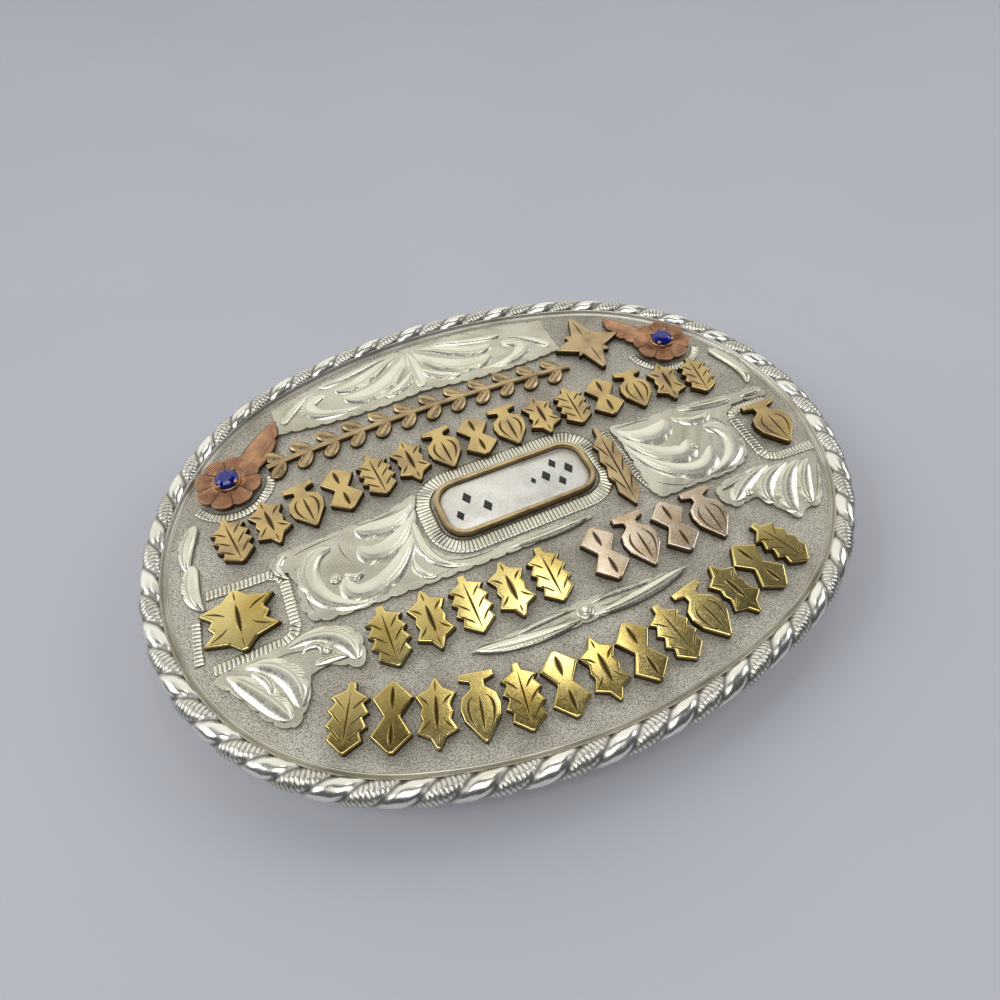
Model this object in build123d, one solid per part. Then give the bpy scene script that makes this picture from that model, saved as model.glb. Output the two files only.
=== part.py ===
"""Western trophy buckle lying face up on its belt loop and its belt hook. Millimetres.

+X runs along the belt from the loop to the hook, +Y is the buckle's top edge and +Z points out of its face.
The origin is on the surface that the buckle lies on, under the middle of the oval.
"""
from build123d import *
import os
from math import atan2, cos, pi, radians, sin, sqrt

# Oval through the middle of the rope edge: two end arcs and two side arcs
half_length = 48.5
half_width = 37.1
end_radius = 34.7

# Rope edge: two strands twisted round each other and pressed together, so that each is half of a round rope.
# Rows of a strand's section: distance from the plane between the strands, place along that plane
rope_turns = 35
strand_section = ((0.05, 0.0), (0.05, -1.1), (1.05, -1.0), (1.45, 0.0), (1.05, 1.0), (0.05, 1.1))
stations_per_turn = 10
smooth_strand_start = -79.4
wrapped_strand_start = 100.6

# Heights above the surface
wire_diameter = 2.0
belt_gap = 4.2
plate_thickness = 1.3
rope_over_face = -0.05
solder_gap = 0.02

# Base plate and its raised border
plate_inset = 1.5
border_inner_inset = 2.1
border_height = 0.65
border_slope = 0.5

# Relief thicknesses
ornament_thickness = 1.0
overlay_thickness = 0.7
sheet_thickness = 0.4
strip_thickness = 0.8
centre_ground_thickness = 0.45
centre_wire_height = 1.1

# Arch row, along an arc under the top edge
arch_radius = 71.2
arch_centre_y = -42.3
arch_count = 13
arch_step_degrees = 4.05
arch_ornament_size = (4.8, 8.2)

# Second row: four rose ornaments at the left and five gold ones at the right
middle_row_y = 14.9
rose_centres_x = (-23.4, -18.1, -12.8, -7.5)
gold_centres_x = (0.4, 5.8, 11.2, 16.6, 22.0)
middle_ornament_size = (5.0, 8.4)

# Third row, along a shallow arc that sags in the middle
long_row_radius = 225.8
long_row_centre_y = 215.1
long_row_count = 15
long_row_step = 5.3
long_row_tilt = 1.6
long_ornament_size = (5.0, 7.8)

# Small leaf strip: a stem along an arc with leaves on both sides
strip_stem = ((-19.0, -18.9), (6.0, -19.6), (30.4, -17.6))
strip_stem_width = 1.0
strip_leaf_pairs = 12
strip_leaf_length = 3.7
strip_leaf_width = 2.1
strip_leaf_lean = 42.0

# Single ornaments: centre x, centre y, width, height, turn in degrees
left_end_place = (-41.4, 4.5, 6.0, 8.6, 0.0)
right_end_place = (38.4, 5.5, 9.4, 8.6, 0.0)
feather_place = (-15.9, 2.3, 3.8, 14.6, -4.0)
compass_star_place = (-24.2, -22.6, 11.4, 12.6, 0.0)
compass_diagonal_size = 7.6

# Centre frame of bronze wire round a bright ground
frame_centre = (-1.25, 0.15)
frame_turn = 1.5
frame_length = 23.4
frame_width = 9.6
frame_corner = 3.4
frame_wire = 0.9
ground_clearance = 0.05

# Flowers with a leaf and a stone setting: flower centre, then the leaf's tip
flower_places = {"left": ((-35.6, -17.9), (-29.4, -28.0)), "right": ((36.0, -16.8), (28.4, -26.0))}
petal_count = 8
petal_radius = 1.55
petal_circle = 3.1
flower_core_radius = 3.4
flower_foot_radius = 2.6
flower_lift = 0.42
petal_thickness = 0.75
flower_leaf_width = 3.6
setting_radius = 2.15
setting_height = 0.75
grain_radius = 0.35
grain_circle = 1.92

# Round cut stones
stone_radius = 1.45
table_radius = 0.85
crown_height = 0.5
girdle_height = 0.15
pavilion_height = 0.9
culet_radius = 0.12
stone_facets = 8
stone_clearance = 0.06

# Belt loop behind the left end and belt hook behind the right end
loop_x = -36.0
loop_half_span = 21.0
loop_foot_radius = 1.7
hook_foot_radius = 2.2
foot_thickness = 0.4
hook_x = 26.0
hook_radius = 1.25
hook_reach = 2.4
hook_free_length = 3.5
hook_collar_radius = 1.75
hook_collar_thickness = 0.5
hook_neck_radius = 1.5

# Outlines of the row ornaments: rows of height and half width, as parts of the ornament's own size
lozenge_pair = ((-0.5, 0.06), (-0.26, 0.5), (0.0, 0.2), (0.26, 0.5), (0.5, 0.06))
six_point_star = ((-0.5, 0.04), (-0.35, 0.18), (-0.26, 0.5), (-0.1, 0.34), (0.0, 0.4), (0.1, 0.34), (0.26, 0.5),
                  (0.35, 0.18), (0.5, 0.04))
four_point_star = ((-0.5, 0.03), (-0.15, 0.17), (0.0, 0.5), (0.15, 0.17), (0.5, 0.03))
bud = ((-0.5, 0.44), (-0.4, 0.44), (-0.35, 0.18), (-0.27, 0.18), (-0.15, 0.44), (0.0, 0.5), (0.18, 0.44),
       (0.34, 0.24), (0.5, 0.04))
feather = ((-0.5, 0.1), (-0.38, 0.12), (-0.27, 0.48), (-0.2, 0.34), (-0.07, 0.5), (0.0, 0.36), (0.13, 0.5),
           (0.2, 0.34), (0.32, 0.42), (0.5, 0.04))

# Engraved silver overlays: a thin sheet with a smooth lobed outline, given by the points that it runs through
overlay_outlines = {
    "upper_left_leaves": (
        (-43.4, 11.4), (-42.4, 14.5), (-40.3, 17.6), (-38.0, 19.6), (-36.4, 19.4), (-34.6, 20.3), (-33.4, 18.4),
        (-32.2, 16.8), (-31.4, 15.2), (-29.8, 15.2), (-28.0, 15.4), (-26.7, 14.0), (-26.5, 12.2), (-28.4, 10.9),
        (-32.0, 10.5), (-36.4, 10.6), (-40.2, 11.2),
    ),
    "upper_right_leaves": (
        (25.3, 12.5), (25.0, 15.0), (26.0, 17.1), (27.8, 16.4), (29.8, 15.5), (31.6, 15.9), (32.5, 17.8),
        (33.4, 19.8), (35.0, 21.2), (36.8, 20.4), (38.6, 18.2), (40.6, 15.0), (42.5, 11.9), (40.6, 11.3),
        (36.4, 10.9), (32.6, 10.6), (29.6, 10.4), (27.0, 10.9),
    ),
    "left_scroll": (
        (-18.7, -4.5), (-22.0, -4.4), (-27.0, -4.3), (-32.0, -4.2), (-36.6, -3.7), (-40.5, -3.2), (-44.4, -2.7),
        (-44.6, -1.5), (-41.0, -1.2), (-37.6, -0.7), (-36.2, 1.0), (-35.9, 5.0), (-34.6, 8.1), (-31.8, 9.6),
        (-27.0, 9.9), (-22.6, 9.9), (-19.0, 9.5), (-18.5, 6.0), (-18.7, 2.0), (-18.9, -2.0),
    ),
    "right_scroll": (
        (12.4, -4.3), (16.0, -3.5), (20.5, -3.0), (25.5, -2.7), (30.0, -2.5), (32.6, -2.0), (33.5, -0.7),
        (32.2, 0.6), (31.0, 2.4), (31.0, 6.0), (30.0, 9.0), (26.5, 9.8), (20.0, 9.9), (12.0, 9.9), (4.0, 9.8),
        (-4.0, 9.5), (-9.0, 8.8), (-4.0, 8.1), (4.0, 8.0), (9.6, 7.7), (12.4, 5.6), (13.4, 2.0), (13.2, -1.4),
    ),
    "slim_leaf_bar": (
        (-16.4, 20.7), (-12.0, 21.6), (-6.0, 22.5), (-1.4, 22.8), (3.2, 22.5), (9.2, 21.6), (13.6, 20.7),
        (9.2, 20.3), (3.2, 19.9), (-1.4, 19.7), (-6.0, 19.9), (-12.0, 20.3),
    ),
}

# Leaves on the overlays, each along a cubic curve: rows of start x and y, two guide points, end x and y, width
overlay_leaves = {
    "upper_left_leaves": (
        (-42.4, 12.0, -40.4, 13.4, -38.0, 16.0, -37.6, 18.9, 2.0),
        (-41.0, 11.8, -37.6, 12.8, -34.0, 16.4, -34.9, 19.4, 2.5),
        (-39.2, 11.6, -35.6, 11.8, -32.0, 13.8, -32.9, 16.9, 2.1),
        (-36.4, 11.0, -33.4, 11.0, -30.0, 12.4, -28.1, 14.6, 2.0),
        (-33.6, 11.0, -32.0, 11.2, -29.6, 11.5, -27.4, 12.2, 0.8),
    ),
    "upper_right_leaves": (
        (41.4, 12.0, 39.6, 13.6, 36.8, 16.8, 35.3, 20.3, 2.3),
        (39.6, 11.9, 36.0, 12.0, 32.6, 15.2, 34.0, 19.2, 2.4),
        (37.0, 17.4, 36.2, 15.8, 36.6, 14.0, 38.4, 13.0, 1.3),
        (34.4, 11.6, 30.4, 10.4, 26.0, 11.6, 26.4, 16.2, 2.2),
        (32.4, 13.0, 31.2, 11.6, 29.0, 12.4, 30.2, 13.8, 1.1),
        (26.8, 15.6, 28.0, 14.8, 29.4, 14.5, 31.2, 14.9, 1.1),
    ),
    "left_scroll": (
        (-19.2, -3.9, -21.0, -0.2, -25.2, 1.2, -26.8, -2.6, 2.6),
        (-19.1, -3.2, -20.6, 3.2, -27.4, 7.4, -27.6, 2.6, 2.5),
        (-19.1, -1.4, -19.8, 6.4, -28.4, 11.4, -29.8, 5.0, 2.1),
        (-26.0, 9.0, -36.0, 9.4, -36.4, 1.0, -31.2, 0.8, 2.1),
        (-28.0, -3.0, -29.5, -0.6, -32.0, 0.0, -34.0, -1.2, 1.6),
        (-29.6, -3.6, -33.0, -2.7, -36.0, -2.3, -38.6, -2.3, 1.2),
        (-40.2, -2.2, -41.4, -1.9, -42.8, -1.9, -44.0, -2.2, 0.7),
    ),
    "right_scroll": (
        (13.0, -3.5, 14.6, -0.4, 19.0, 0.4, 21.4, -2.2, 2.2),
        (13.2, -3.0, 14.8, 2.4, 20.6, 5.2, 21.4, 1.2, 2.3),
        (13.6, -1.4, 15.4, 7.4, 25.8, 11.6, 25.2, 5.2, 2.2),
        (20.8, 9.0, 30.6, 10.2, 31.4, -1.2, 25.4, -0.6, 2.1),
        (22.0, 4.4, 22.8, 5.4, 23.8, 5.6, 24.6, 4.2, 1.0),
        (31.4, 2.0, 33.0, 0.8, 33.2, -1.0, 31.0, -1.7, 1.1),
        (8.6, 9.2, 14.2, 8.8, 15.0, 3.2, 13.9, 0.2, 1.4),
        (15.4, 4.8, 16.4, 6.6, 16.0, 8.2, 13.8, 9.3, 1.1),
        (4.0, 8.9, 1.0, 9.3, -4.0, 9.2, -8.0, 8.8, 0.9),
    ),
    "slim_leaf_bar": (
        (-1.4, 21.9, -5.4, 22.6, -11.0, 21.8, -15.8, 20.8, 1.3),
        (-1.4, 21.9, 2.6, 22.6, 8.2, 21.8, 13.0, 20.8, 1.3),
        (-2.0, 20.7, -4.6, 20.2, -7.6, 20.4, -10.6, 20.8, 0.8),
        (-0.8, 20.7, 1.8, 20.2, 4.8, 20.4, 7.8, 20.8, 0.8),
    ),
}

# Shape of those leaves: places along the curve where the sides are fixed, and powers for root and tip
leaf_stations = (0.08, 0.25, 0.45, 0.64, 0.81, 0.94)
leaf_root_power = 0.7
leaf_tip_power = 0.4

# Round bulbs of the overlays: rows of centre x, centre y, radius
overlay_bulbs = {
    "upper_left_leaves": ((-30.6, 13.9, 0.7),),
    "upper_right_leaves": ((29.4, 13.4, 0.7),),
    "left_scroll": ((-28.2, 3.6, 0.8),),
    "right_scroll": ((26.0, 4.4, 0.8),),
    "slim_leaf_bar": ((-1.4, 21.2, 1.2),),
}

# Engraved panel along the bottom edge, with leaves mirrored about its middle: rows as above, with x from the middle
panel_inset = 3.0
panel_left = -19.6
panel_right = 27.6
panel_top = -23.4
panel_crest = -22.5
panel_leaves = (
    (0.7, -32.8, 2.4, -28.5, 7.6, -24.0, 12.4, -26.8, 2.5),
    (1.4, -33.1, 5.6, -31.6, 9.6, -27.6, 13.4, -29.0, 2.0),
    (9.4, -24.4, 18.8, -22.8, 20.6, -28.4, 15.0, -28.6, 2.0),
    (2.8, -33.0, 7.0, -32.6, 11.0, -31.2, 15.6, -30.5, 1.3),
    (16.4, -29.9, 19.0, -28.8, 21.4, -27.0, 22.4, -24.9, 1.5),
    (0.4, -29.0, 1.2, -26.6, 3.2, -24.9, 6.4, -24.5, 1.4),
)
panel_middle_leaf = (0.0, -33.4, 0.0, -30.5, 0.0, -27.0, 0.0, -24.2, 1.8)

side_radius = (half_length**2 - 2 * half_length * end_radius + half_width**2) / (2 * (half_width - end_radius))
end_centre_x = half_length - end_radius
side_centre_y = side_radius - half_width
joint_angle = atan2(side_centre_y, end_centre_x)
end_arc_length = end_radius * joint_angle
side_arc_length = side_radius * (pi / 2 - joint_angle)
rope_length = 4 * (end_arc_length + side_arc_length)

plate_bottom = wire_diameter + belt_gap
face_z = plate_bottom + plate_thickness
rope_z = face_z + rope_over_face
relief_z = face_z + solder_gap


def oval(inset):
    """The face inside the rope's middle line, moved inwards by inset: four arcs that meet smoothly."""
    end = end_radius - inset
    joint_x = end_centre_x + end * cos(joint_angle)
    joint_y = end * sin(joint_angle)
    top = half_width - inset
    tip = half_length - inset
    arcs = [
        ThreePointArc((joint_x, joint_y), (0, top), (-joint_x, joint_y)),
        ThreePointArc((-joint_x, joint_y), (-tip, 0), (-joint_x, -joint_y)),
        ThreePointArc((-joint_x, -joint_y), (0, -top), (joint_x, -joint_y)),
        ThreePointArc((joint_x, -joint_y), (tip, 0), (joint_x, joint_y)),
    ]
    return Face(Wire(arcs))


def rope_point(along):
    """Place on the rope's middle line, and its outward direction, at a length from the right end."""
    quarter = end_arc_length + side_arc_length
    number = int(along // quarter) % 4
    step = along % quarter
    if number % 2 == 1:
        step = quarter - step
    if step < end_arc_length:
        turn = step / end_radius
        x = end_centre_x + end_radius * cos(turn)
        y = end_radius * sin(turn)
    else:
        turn = joint_angle + (step - end_arc_length) / side_radius
        x = side_radius * cos(turn)
        y = side_radius * sin(turn) - side_centre_y
    flip_x = -1 if number in (1, 2) else 1
    flip_y = -1 if number in (2, 3) else 1
    return Vector(flip_x * x, flip_y * y, rope_z), Vector(flip_x * cos(turn), flip_y * sin(turn), 0)


def rope_strand(start_degrees):
    """One strand as a closed faceted solid: its section turns steadily about the rope's middle line.

    The two triangles of each cell are split the other way in the last column, so that the facets between the
    strands lie along each other.
    """
    count = rope_turns * stations_per_turn
    corners = len(strand_section)
    rings = []
    for station in range(count):
        centre, outward = rope_point(station * rope_length / count)
        turn = radians(start_degrees + 360 * station / stations_per_turn)
        away = outward * cos(turn) + Vector(0, 0, 1) * sin(turn)
        sideways = Vector(0, 0, 1) * cos(turn) - outward * sin(turn)
        rings.append([centre + away * u + sideways * v for u, v in strand_section])
    triangles = []
    for station in range(count):
        ring = rings[station]
        following = rings[(station + 1) % count]
        for corner in range(corners):
            other = (corner + 1) % corners
            cell = [ring[corner], ring[other], following[other], following[corner]]
            if other == 0:
                cell = cell[1:] + cell[:1]
            triangles.append(Face(Wire.make_polygon(cell[:3])))
            triangles.append(Face(Wire.make_polygon([cell[0], cell[2], cell[3]])))
    return Solid(Shell(triangles))


def raise_relief(face, thickness, bottom=relief_z):
    """A flat piece of sheet with this outline, standing on the frosted face."""
    return extrude(Pos(0, 0, bottom) * face, amount=thickness, dir=(0, 0, 1))


def ornament_outline(rows, width, height):
    """An outline that is the same left and right, from rows of height and half width."""
    right = [(part * width, level * height) for level, part in rows]
    left = [(-x, y) for x, y in reversed(right) if x > 0]
    return Face(Wire.make_polygon([(x, y, 0) for x, y in right + left]))


def placed_ornament(rows, place, thickness=ornament_thickness):
    """A single ornament at centre x and y, with its own size and turn."""
    x, y, width, height, turn = place
    return raise_relief(Pos(x, y) * Rot(0, 0, turn) * ornament_outline(rows, width, height), thickness)


def leaf_face(root_x, root_y, tip_x, tip_y, bow, width):
    """A bowed leaf between two arcs that meet at its root and its tip."""
    run_x = tip_x - root_x
    run_y = tip_y - root_y
    run = sqrt(run_x**2 + run_y**2)
    middle_x = (root_x + tip_x) / 2
    middle_y = (root_y + tip_y) / 2
    sides = []
    for rise in (bow + width / 2, bow - width / 2):
        sides.append((middle_x - run_y / run * rise, middle_y + run_x / run * rise))
    left = ThreePointArc((root_x, root_y), sides[0], (tip_x, tip_y))
    right = ThreePointArc((tip_x, tip_y), sides[1], (root_x, root_y))
    return Face(Wire([left, right]))


def curved_leaf_face(start_x, start_y, first_x, first_y, second_x, second_y, end_x, end_y, width):
    """A leaf along a cubic curve: narrow at its start, widest past the middle and blunt at its end."""
    widest = leaf_root_power / (leaf_root_power + leaf_tip_power)
    full = widest**leaf_root_power * (1 - widest)**leaf_tip_power
    left = []
    right = []
    for along in leaf_stations:
        back = 1 - along
        weights = (back**3, 3 * back**2 * along, 3 * back * along**2, along**3)
        x = sum(w * place for w, place in zip(weights, (start_x, first_x, second_x, end_x)))
        y = sum(w * place for w, place in zip(weights, (start_y, first_y, second_y, end_y)))
        slopes = (back**2, 2 * back * along, along**2)
        run_x = sum(w * step for w, step in zip(slopes, (first_x - start_x, second_x - first_x, end_x - second_x)))
        run_y = sum(w * step for w, step in zip(slopes, (first_y - start_y, second_y - first_y, end_y - second_y)))
        run = sqrt(run_x**2 + run_y**2)
        half = width / 2 * along**leaf_root_power * back**leaf_tip_power / full
        left.append((x - run_y / run * half, y + run_x / run * half))
        right.append((x + run_y / run * half, y - run_x / run * half))
    start = (start_x, start_y)
    end = (end_x, end_y)
    return Face(Wire([Spline(start, *left, end), Spline(end, *reversed(right), start)]))


def fused(solids):
    """The pieces soldered into one solid."""
    whole = solids[0]
    for piece in solids[1:]:
        whole = whole + piece
    return whole


def base_plate():
    """Flat sheet with a raised border whose inner side slopes down to the frosted face."""
    sheet = extrude(Pos(0, 0, plate_bottom) * oval(plate_inset), amount=plate_thickness, dir=(0, 0, 1))
    ring = extrude(Pos(0, 0, face_z) * oval(plate_inset), amount=border_height, dir=(0, 0, 1))
    low = Pos(0, 0, face_z) * oval(border_inner_inset)
    high = Pos(0, 0, face_z + border_height) * oval(border_inner_inset - border_slope)
    return sheet + (ring - loft([low, high], ruled=True))


def arch_row():
    """Ornaments that fan out along the arch, mirrored about the middle one."""
    shapes = (six_point_star, lozenge_pair, feather, bud)
    pieces = {}
    for number in range(arch_count):
        from_middle = number - arch_count // 2
        turn = -from_middle * arch_step_degrees
        shape = shapes[abs(from_middle) % len(shapes)]
        outline = Pos(0, arch_radius) * ornament_outline(shape, *arch_ornament_size)
        outline = Pos(0, arch_centre_y) * Rot(0, 0, turn) * outline
        pieces[f"arch_ornament_{number + 1:02d}"] = raise_relief(outline, ornament_thickness)
    return pieces


def middle_row():
    """Two straight groups of ornaments, rose ones and gold ones."""
    pieces = {}
    groups = {"rose": (rose_centres_x, (bud, lozenge_pair)), "gold": (gold_centres_x, (feather, six_point_star))}
    for name, (centres, shapes) in groups.items():
        for number, x in enumerate(centres):
            place = (x, middle_row_y, *middle_ornament_size, 0)
            pieces[f"{name}_ornament_{number + 1}"] = placed_ornament(shapes[number % 2], place)
    return pieces


def long_row():
    """Ornaments along the shallow arc, each square to it, with the whole row tilted a little."""
    shapes = (lozenge_pair, bud, six_point_star, feather)
    pieces = {}
    for number in range(long_row_count):
        from_middle = number - long_row_count // 2
        turn = from_middle * long_row_step / long_row_radius * 180 / pi
        shape = shapes[abs(from_middle) % len(shapes)]
        outline = Pos(0, -long_row_radius) * ornament_outline(shape, *long_ornament_size)
        outline = Pos(0, long_row_centre_y) * Rot(0, 0, turn) * outline
        outline = Rot(0, 0, long_row_tilt) * outline
        pieces[f"long_row_ornament_{number + 1:02d}"] = raise_relief(outline, ornament_thickness)
    return pieces


def leaf_strip():
    """A stem along an arc with pairs of small leaves that all lean towards its right end."""
    stem_line = ThreePointArc(*strip_stem)
    parts = [raise_relief(leaf_ribbon(stem_line, strip_stem_width), strip_thickness)]
    for number in range(strip_leaf_pairs):
        along = (number + 0.3) / strip_leaf_pairs
        root = stem_line @ along
        run = stem_line % along
        for side in (1, -1):
            lean = run.rotate(Axis.Z, side * strip_leaf_lean)
            tip = root + lean * strip_leaf_length
            leaf = leaf_face(root.X, root.Y, tip.X, tip.Y, side * 0.25, strip_leaf_width)
            parts.append(raise_relief(leaf, strip_thickness))
    return fused(parts)


def leaf_ribbon(line, width):
    """An even band along an arc."""
    start = line @ 0
    middle = line @ 0.5
    end = line @ 1
    corners = []
    for along, point in ((0, start), (0.5, middle), (1, end)):
        run = line % along
        side = Vector(-run.Y, run.X) * (width / 2)
        corners.append((point + side, point - side))
    upper = ThreePointArc(corners[0][0], corners[1][0], corners[2][0])
    lower = ThreePointArc(corners[2][1], corners[1][1], corners[0][1])
    return Face(Wire([upper, Line(corners[2][0], corners[2][1]), lower, Line(corners[0][1], corners[0][0])]))


def compass_star():
    """A tall four-point star laid over a smaller one turned by an eighth."""
    x, y, width, height, turn = compass_star_place
    size = (compass_diagonal_size, compass_diagonal_size)
    tall = ornament_outline(four_point_star, width, height)
    across = Rot(0, 0, 45) * ornament_outline(four_point_star, *size)
    return fused([raise_relief(Pos(x, y) * star, ornament_thickness) for star in (tall, across)])


def centre_pieces():
    """The wire frame with round corners, and the bright ground inside it."""
    place = Pos(*frame_centre) * Rot(0, 0, frame_turn)
    inner_length = frame_length - 2 * frame_wire
    inner_width = frame_width - 2 * frame_wire
    inner_corner = frame_corner - frame_wire
    ring = RectangleRounded(frame_length, frame_width, frame_corner)
    ring -= RectangleRounded(inner_length, inner_width, inner_corner)
    ground = RectangleRounded(inner_length - 2 * ground_clearance, inner_width - 2 * ground_clearance,
                              inner_corner - ground_clearance)
    frame = raise_relief(place * ring, centre_wire_height)
    return {"centre_frame": frame, "centre_ground": raise_relief(place * ground, centre_ground_thickness)}


def overlay(name):
    """Sheet, leaves and bulbs of one engraved overlay as one solid."""
    outline = Face(Wire([Spline(*overlay_outlines[name], periodic=True)]))
    parts = [raise_relief(outline, sheet_thickness)]
    for row in overlay_leaves[name]:
        parts.append(raise_relief(curved_leaf_face(*row), overlay_thickness))
    for x, y, radius in overlay_bulbs[name]:
        parts.append(raise_relief(Pos(x, y) * Circle(radius), overlay_thickness))
    return fused(parts)


def bottom_panel():
    """Sheet with two shallow crests along its upper edge and the border along its lower edge, and its leaves."""
    middle = (panel_left + panel_right) / 2
    quarter = (panel_right - panel_left) / 4
    outline = Wire([
        ThreePointArc((panel_left, panel_top), (middle - quarter, panel_crest), (middle, panel_top)),
        ThreePointArc((middle, panel_top), (middle + quarter, panel_crest), (panel_right, panel_top)),
        Line((panel_right, panel_top), (panel_right, -half_width)),
        Line((panel_right, -half_width), (panel_left, -half_width)),
        Line((panel_left, -half_width), (panel_left, panel_top)),
    ])
    parts = [raise_relief(Face(outline), sheet_thickness) & raise_relief(oval(panel_inset), sheet_thickness)]
    place = Pos(middle, 0)
    parts.append(raise_relief(place * curved_leaf_face(*panel_middle_leaf), overlay_thickness))
    for row in panel_leaves:
        leaf = curved_leaf_face(*row)
        parts.append(raise_relief(place * leaf, overlay_thickness))
        parts.append(raise_relief(place * mirror(leaf, about=Plane.YZ), overlay_thickness))
    return fused(parts)


def flower(side):
    """Petals round a core on a short foot, with a leaf and a round stone setting with four grains."""
    (x, y), (tip_x, tip_y) = flower_places[side]
    bottom = face_z + flower_lift
    top = bottom + petal_thickness
    rim = top + setting_height
    parts = [raise_relief(Pos(x, y) * Circle(flower_core_radius), petal_thickness, bottom)]
    parts.append(raise_relief(Pos(x, y) * Circle(flower_foot_radius), flower_lift))
    for number in range(petal_count):
        turn = Rot(0, 0, 360 * (number + 0.5) / petal_count)
        parts.append(raise_relief(Pos(x, y) * turn * Pos(petal_circle, 0) * Circle(petal_radius),
                                  petal_thickness, bottom))
    parts.append(raise_relief(leaf_face(x, y, tip_x, tip_y, 0.4, flower_leaf_width), petal_thickness, bottom))
    parts.append(raise_relief(Pos(x, y) * Circle(setting_radius), petal_thickness + setting_height, bottom))
    whole = fused(parts)
    seat_radius = stone_radius + stone_clearance
    seat_depth = girdle_height + pavilion_height + stone_clearance
    whole -= raise_relief(Pos(x, y) * Circle(seat_radius), seat_depth, rim - seat_depth)
    for number in range(4):
        turn = Rot(0, 0, 45 + 90 * number)
        whole += Pos(x, y, rim) * turn * Pos(grain_circle, 0, 0) * Sphere(grain_radius)
    return whole


def cut_stone(side):
    """Round stone: a table and eight facets over a thin girdle, with eight pavilion facets below."""
    x, y = flower_places[side][0]
    girdle_bottom = face_z + flower_lift + petal_thickness + setting_height - girdle_height
    levels = (
        (-pavilion_height, culet_radius, 0, stone_radius),
        (0, stone_radius, girdle_height, stone_radius),
        (girdle_height, stone_radius, girdle_height + crown_height, table_radius),
    )
    parts = []
    for low_z, low_radius, high_z, high_radius in levels:
        low = Pos(x, y, girdle_bottom + low_z) * RegularPolygon(low_radius, stone_facets)
        high = Pos(x, y, girdle_bottom + high_z) * RegularPolygon(high_radius, stone_facets)
        parts.append(loft([low, high], ruled=True))
    return fused(parts)


def belt_loop():
    """Round wire bar across the belt on two legs, each with a round foot under the plate."""
    wire_radius = wire_diameter / 2
    leg = plate_bottom - solder_gap - wire_radius
    bar = Pos(loop_x, 0, wire_radius) * Rot(90, 0, 0) * Cylinder(wire_radius, 2 * loop_half_span)
    parts = [bar]
    for y in (-loop_half_span, loop_half_span):
        parts.append(Pos(loop_x, y, wire_radius) * Sphere(wire_radius))
        parts.append(Pos(loop_x, y, wire_radius + leg / 2) * Cylinder(wire_radius, leg))
        foot_z = plate_bottom - solder_gap - foot_thickness / 2
        parts.append(Pos(loop_x, y, foot_z) * Cylinder(loop_foot_radius, foot_thickness))
    return fused(parts)


def belt_hook():
    """Straight round peg that leans towards the loop, with a collar, a foot under the plate and a round nose."""
    top = plate_bottom - solder_gap
    drop = top - hook_radius
    lean = atan2(hook_reach, drop) * 180 / pi
    length = sqrt(drop**2 + hook_reach**2)
    nose = Pos(hook_x - hook_reach, 0, hook_radius)
    neck_length = length - hook_free_length
    neck = nose * Rot(0, lean, 0) * Pos(0, 0, hook_free_length + neck_length / 2)
    collar = nose * Rot(0, lean, 0) * Pos(0, 0, hook_free_length + hook_collar_thickness / 2)
    below_plate = Pos(hook_x, 0, top - 5) * Box(20, 20, 10)
    parts = [neck * Cylinder(hook_neck_radius, neck_length) & below_plate]
    parts.append(collar * Cylinder(hook_collar_radius, hook_collar_thickness))
    parts.append(nose * Rot(0, lean, 0) * Pos(0, 0, hook_free_length / 2) * Cylinder(hook_radius, hook_free_length))
    parts.append(nose * Sphere(hook_radius))
    parts.append(Pos(hook_x, 0, top - foot_thickness / 2) * Cylinder(hook_foot_radius, foot_thickness))
    return fused(parts)


pieces = {"base_plate": base_plate()}
pieces["rope_smooth_strand"] = rope_strand(smooth_strand_start)
pieces["rope_wrapped_strand"] = rope_strand(wrapped_strand_start)
pieces.update(arch_row())
pieces.update(middle_row())
pieces.update(long_row())
pieces["leaf_strip"] = leaf_strip()
pieces["left_end_ornament"] = placed_ornament(bud, left_end_place)
pieces["right_end_ornament"] = placed_ornament(six_point_star, right_end_place)
pieces["feather_ornament"] = placed_ornament(feather, feather_place)
pieces["compass_star"] = compass_star()
pieces.update(centre_pieces())
for overlay_name in overlay_leaves:
    pieces[overlay_name] = overlay(overlay_name)
pieces["bottom_panel"] = bottom_panel()
for side in flower_places:
    pieces[f"{side}_flower"] = flower(side)
    pieces[f"{side}_stone"] = cut_stone(side)
pieces["belt_loop"] = belt_loop()
pieces["belt_hook"] = belt_hook()

os.makedirs("parts", exist_ok=True)
for name, piece in pieces.items():
    export_step(piece, f"parts/{name}.step")
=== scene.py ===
import bmesh
import bpy
import numpy as np
from mathutils import Matrix, Vector


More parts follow.
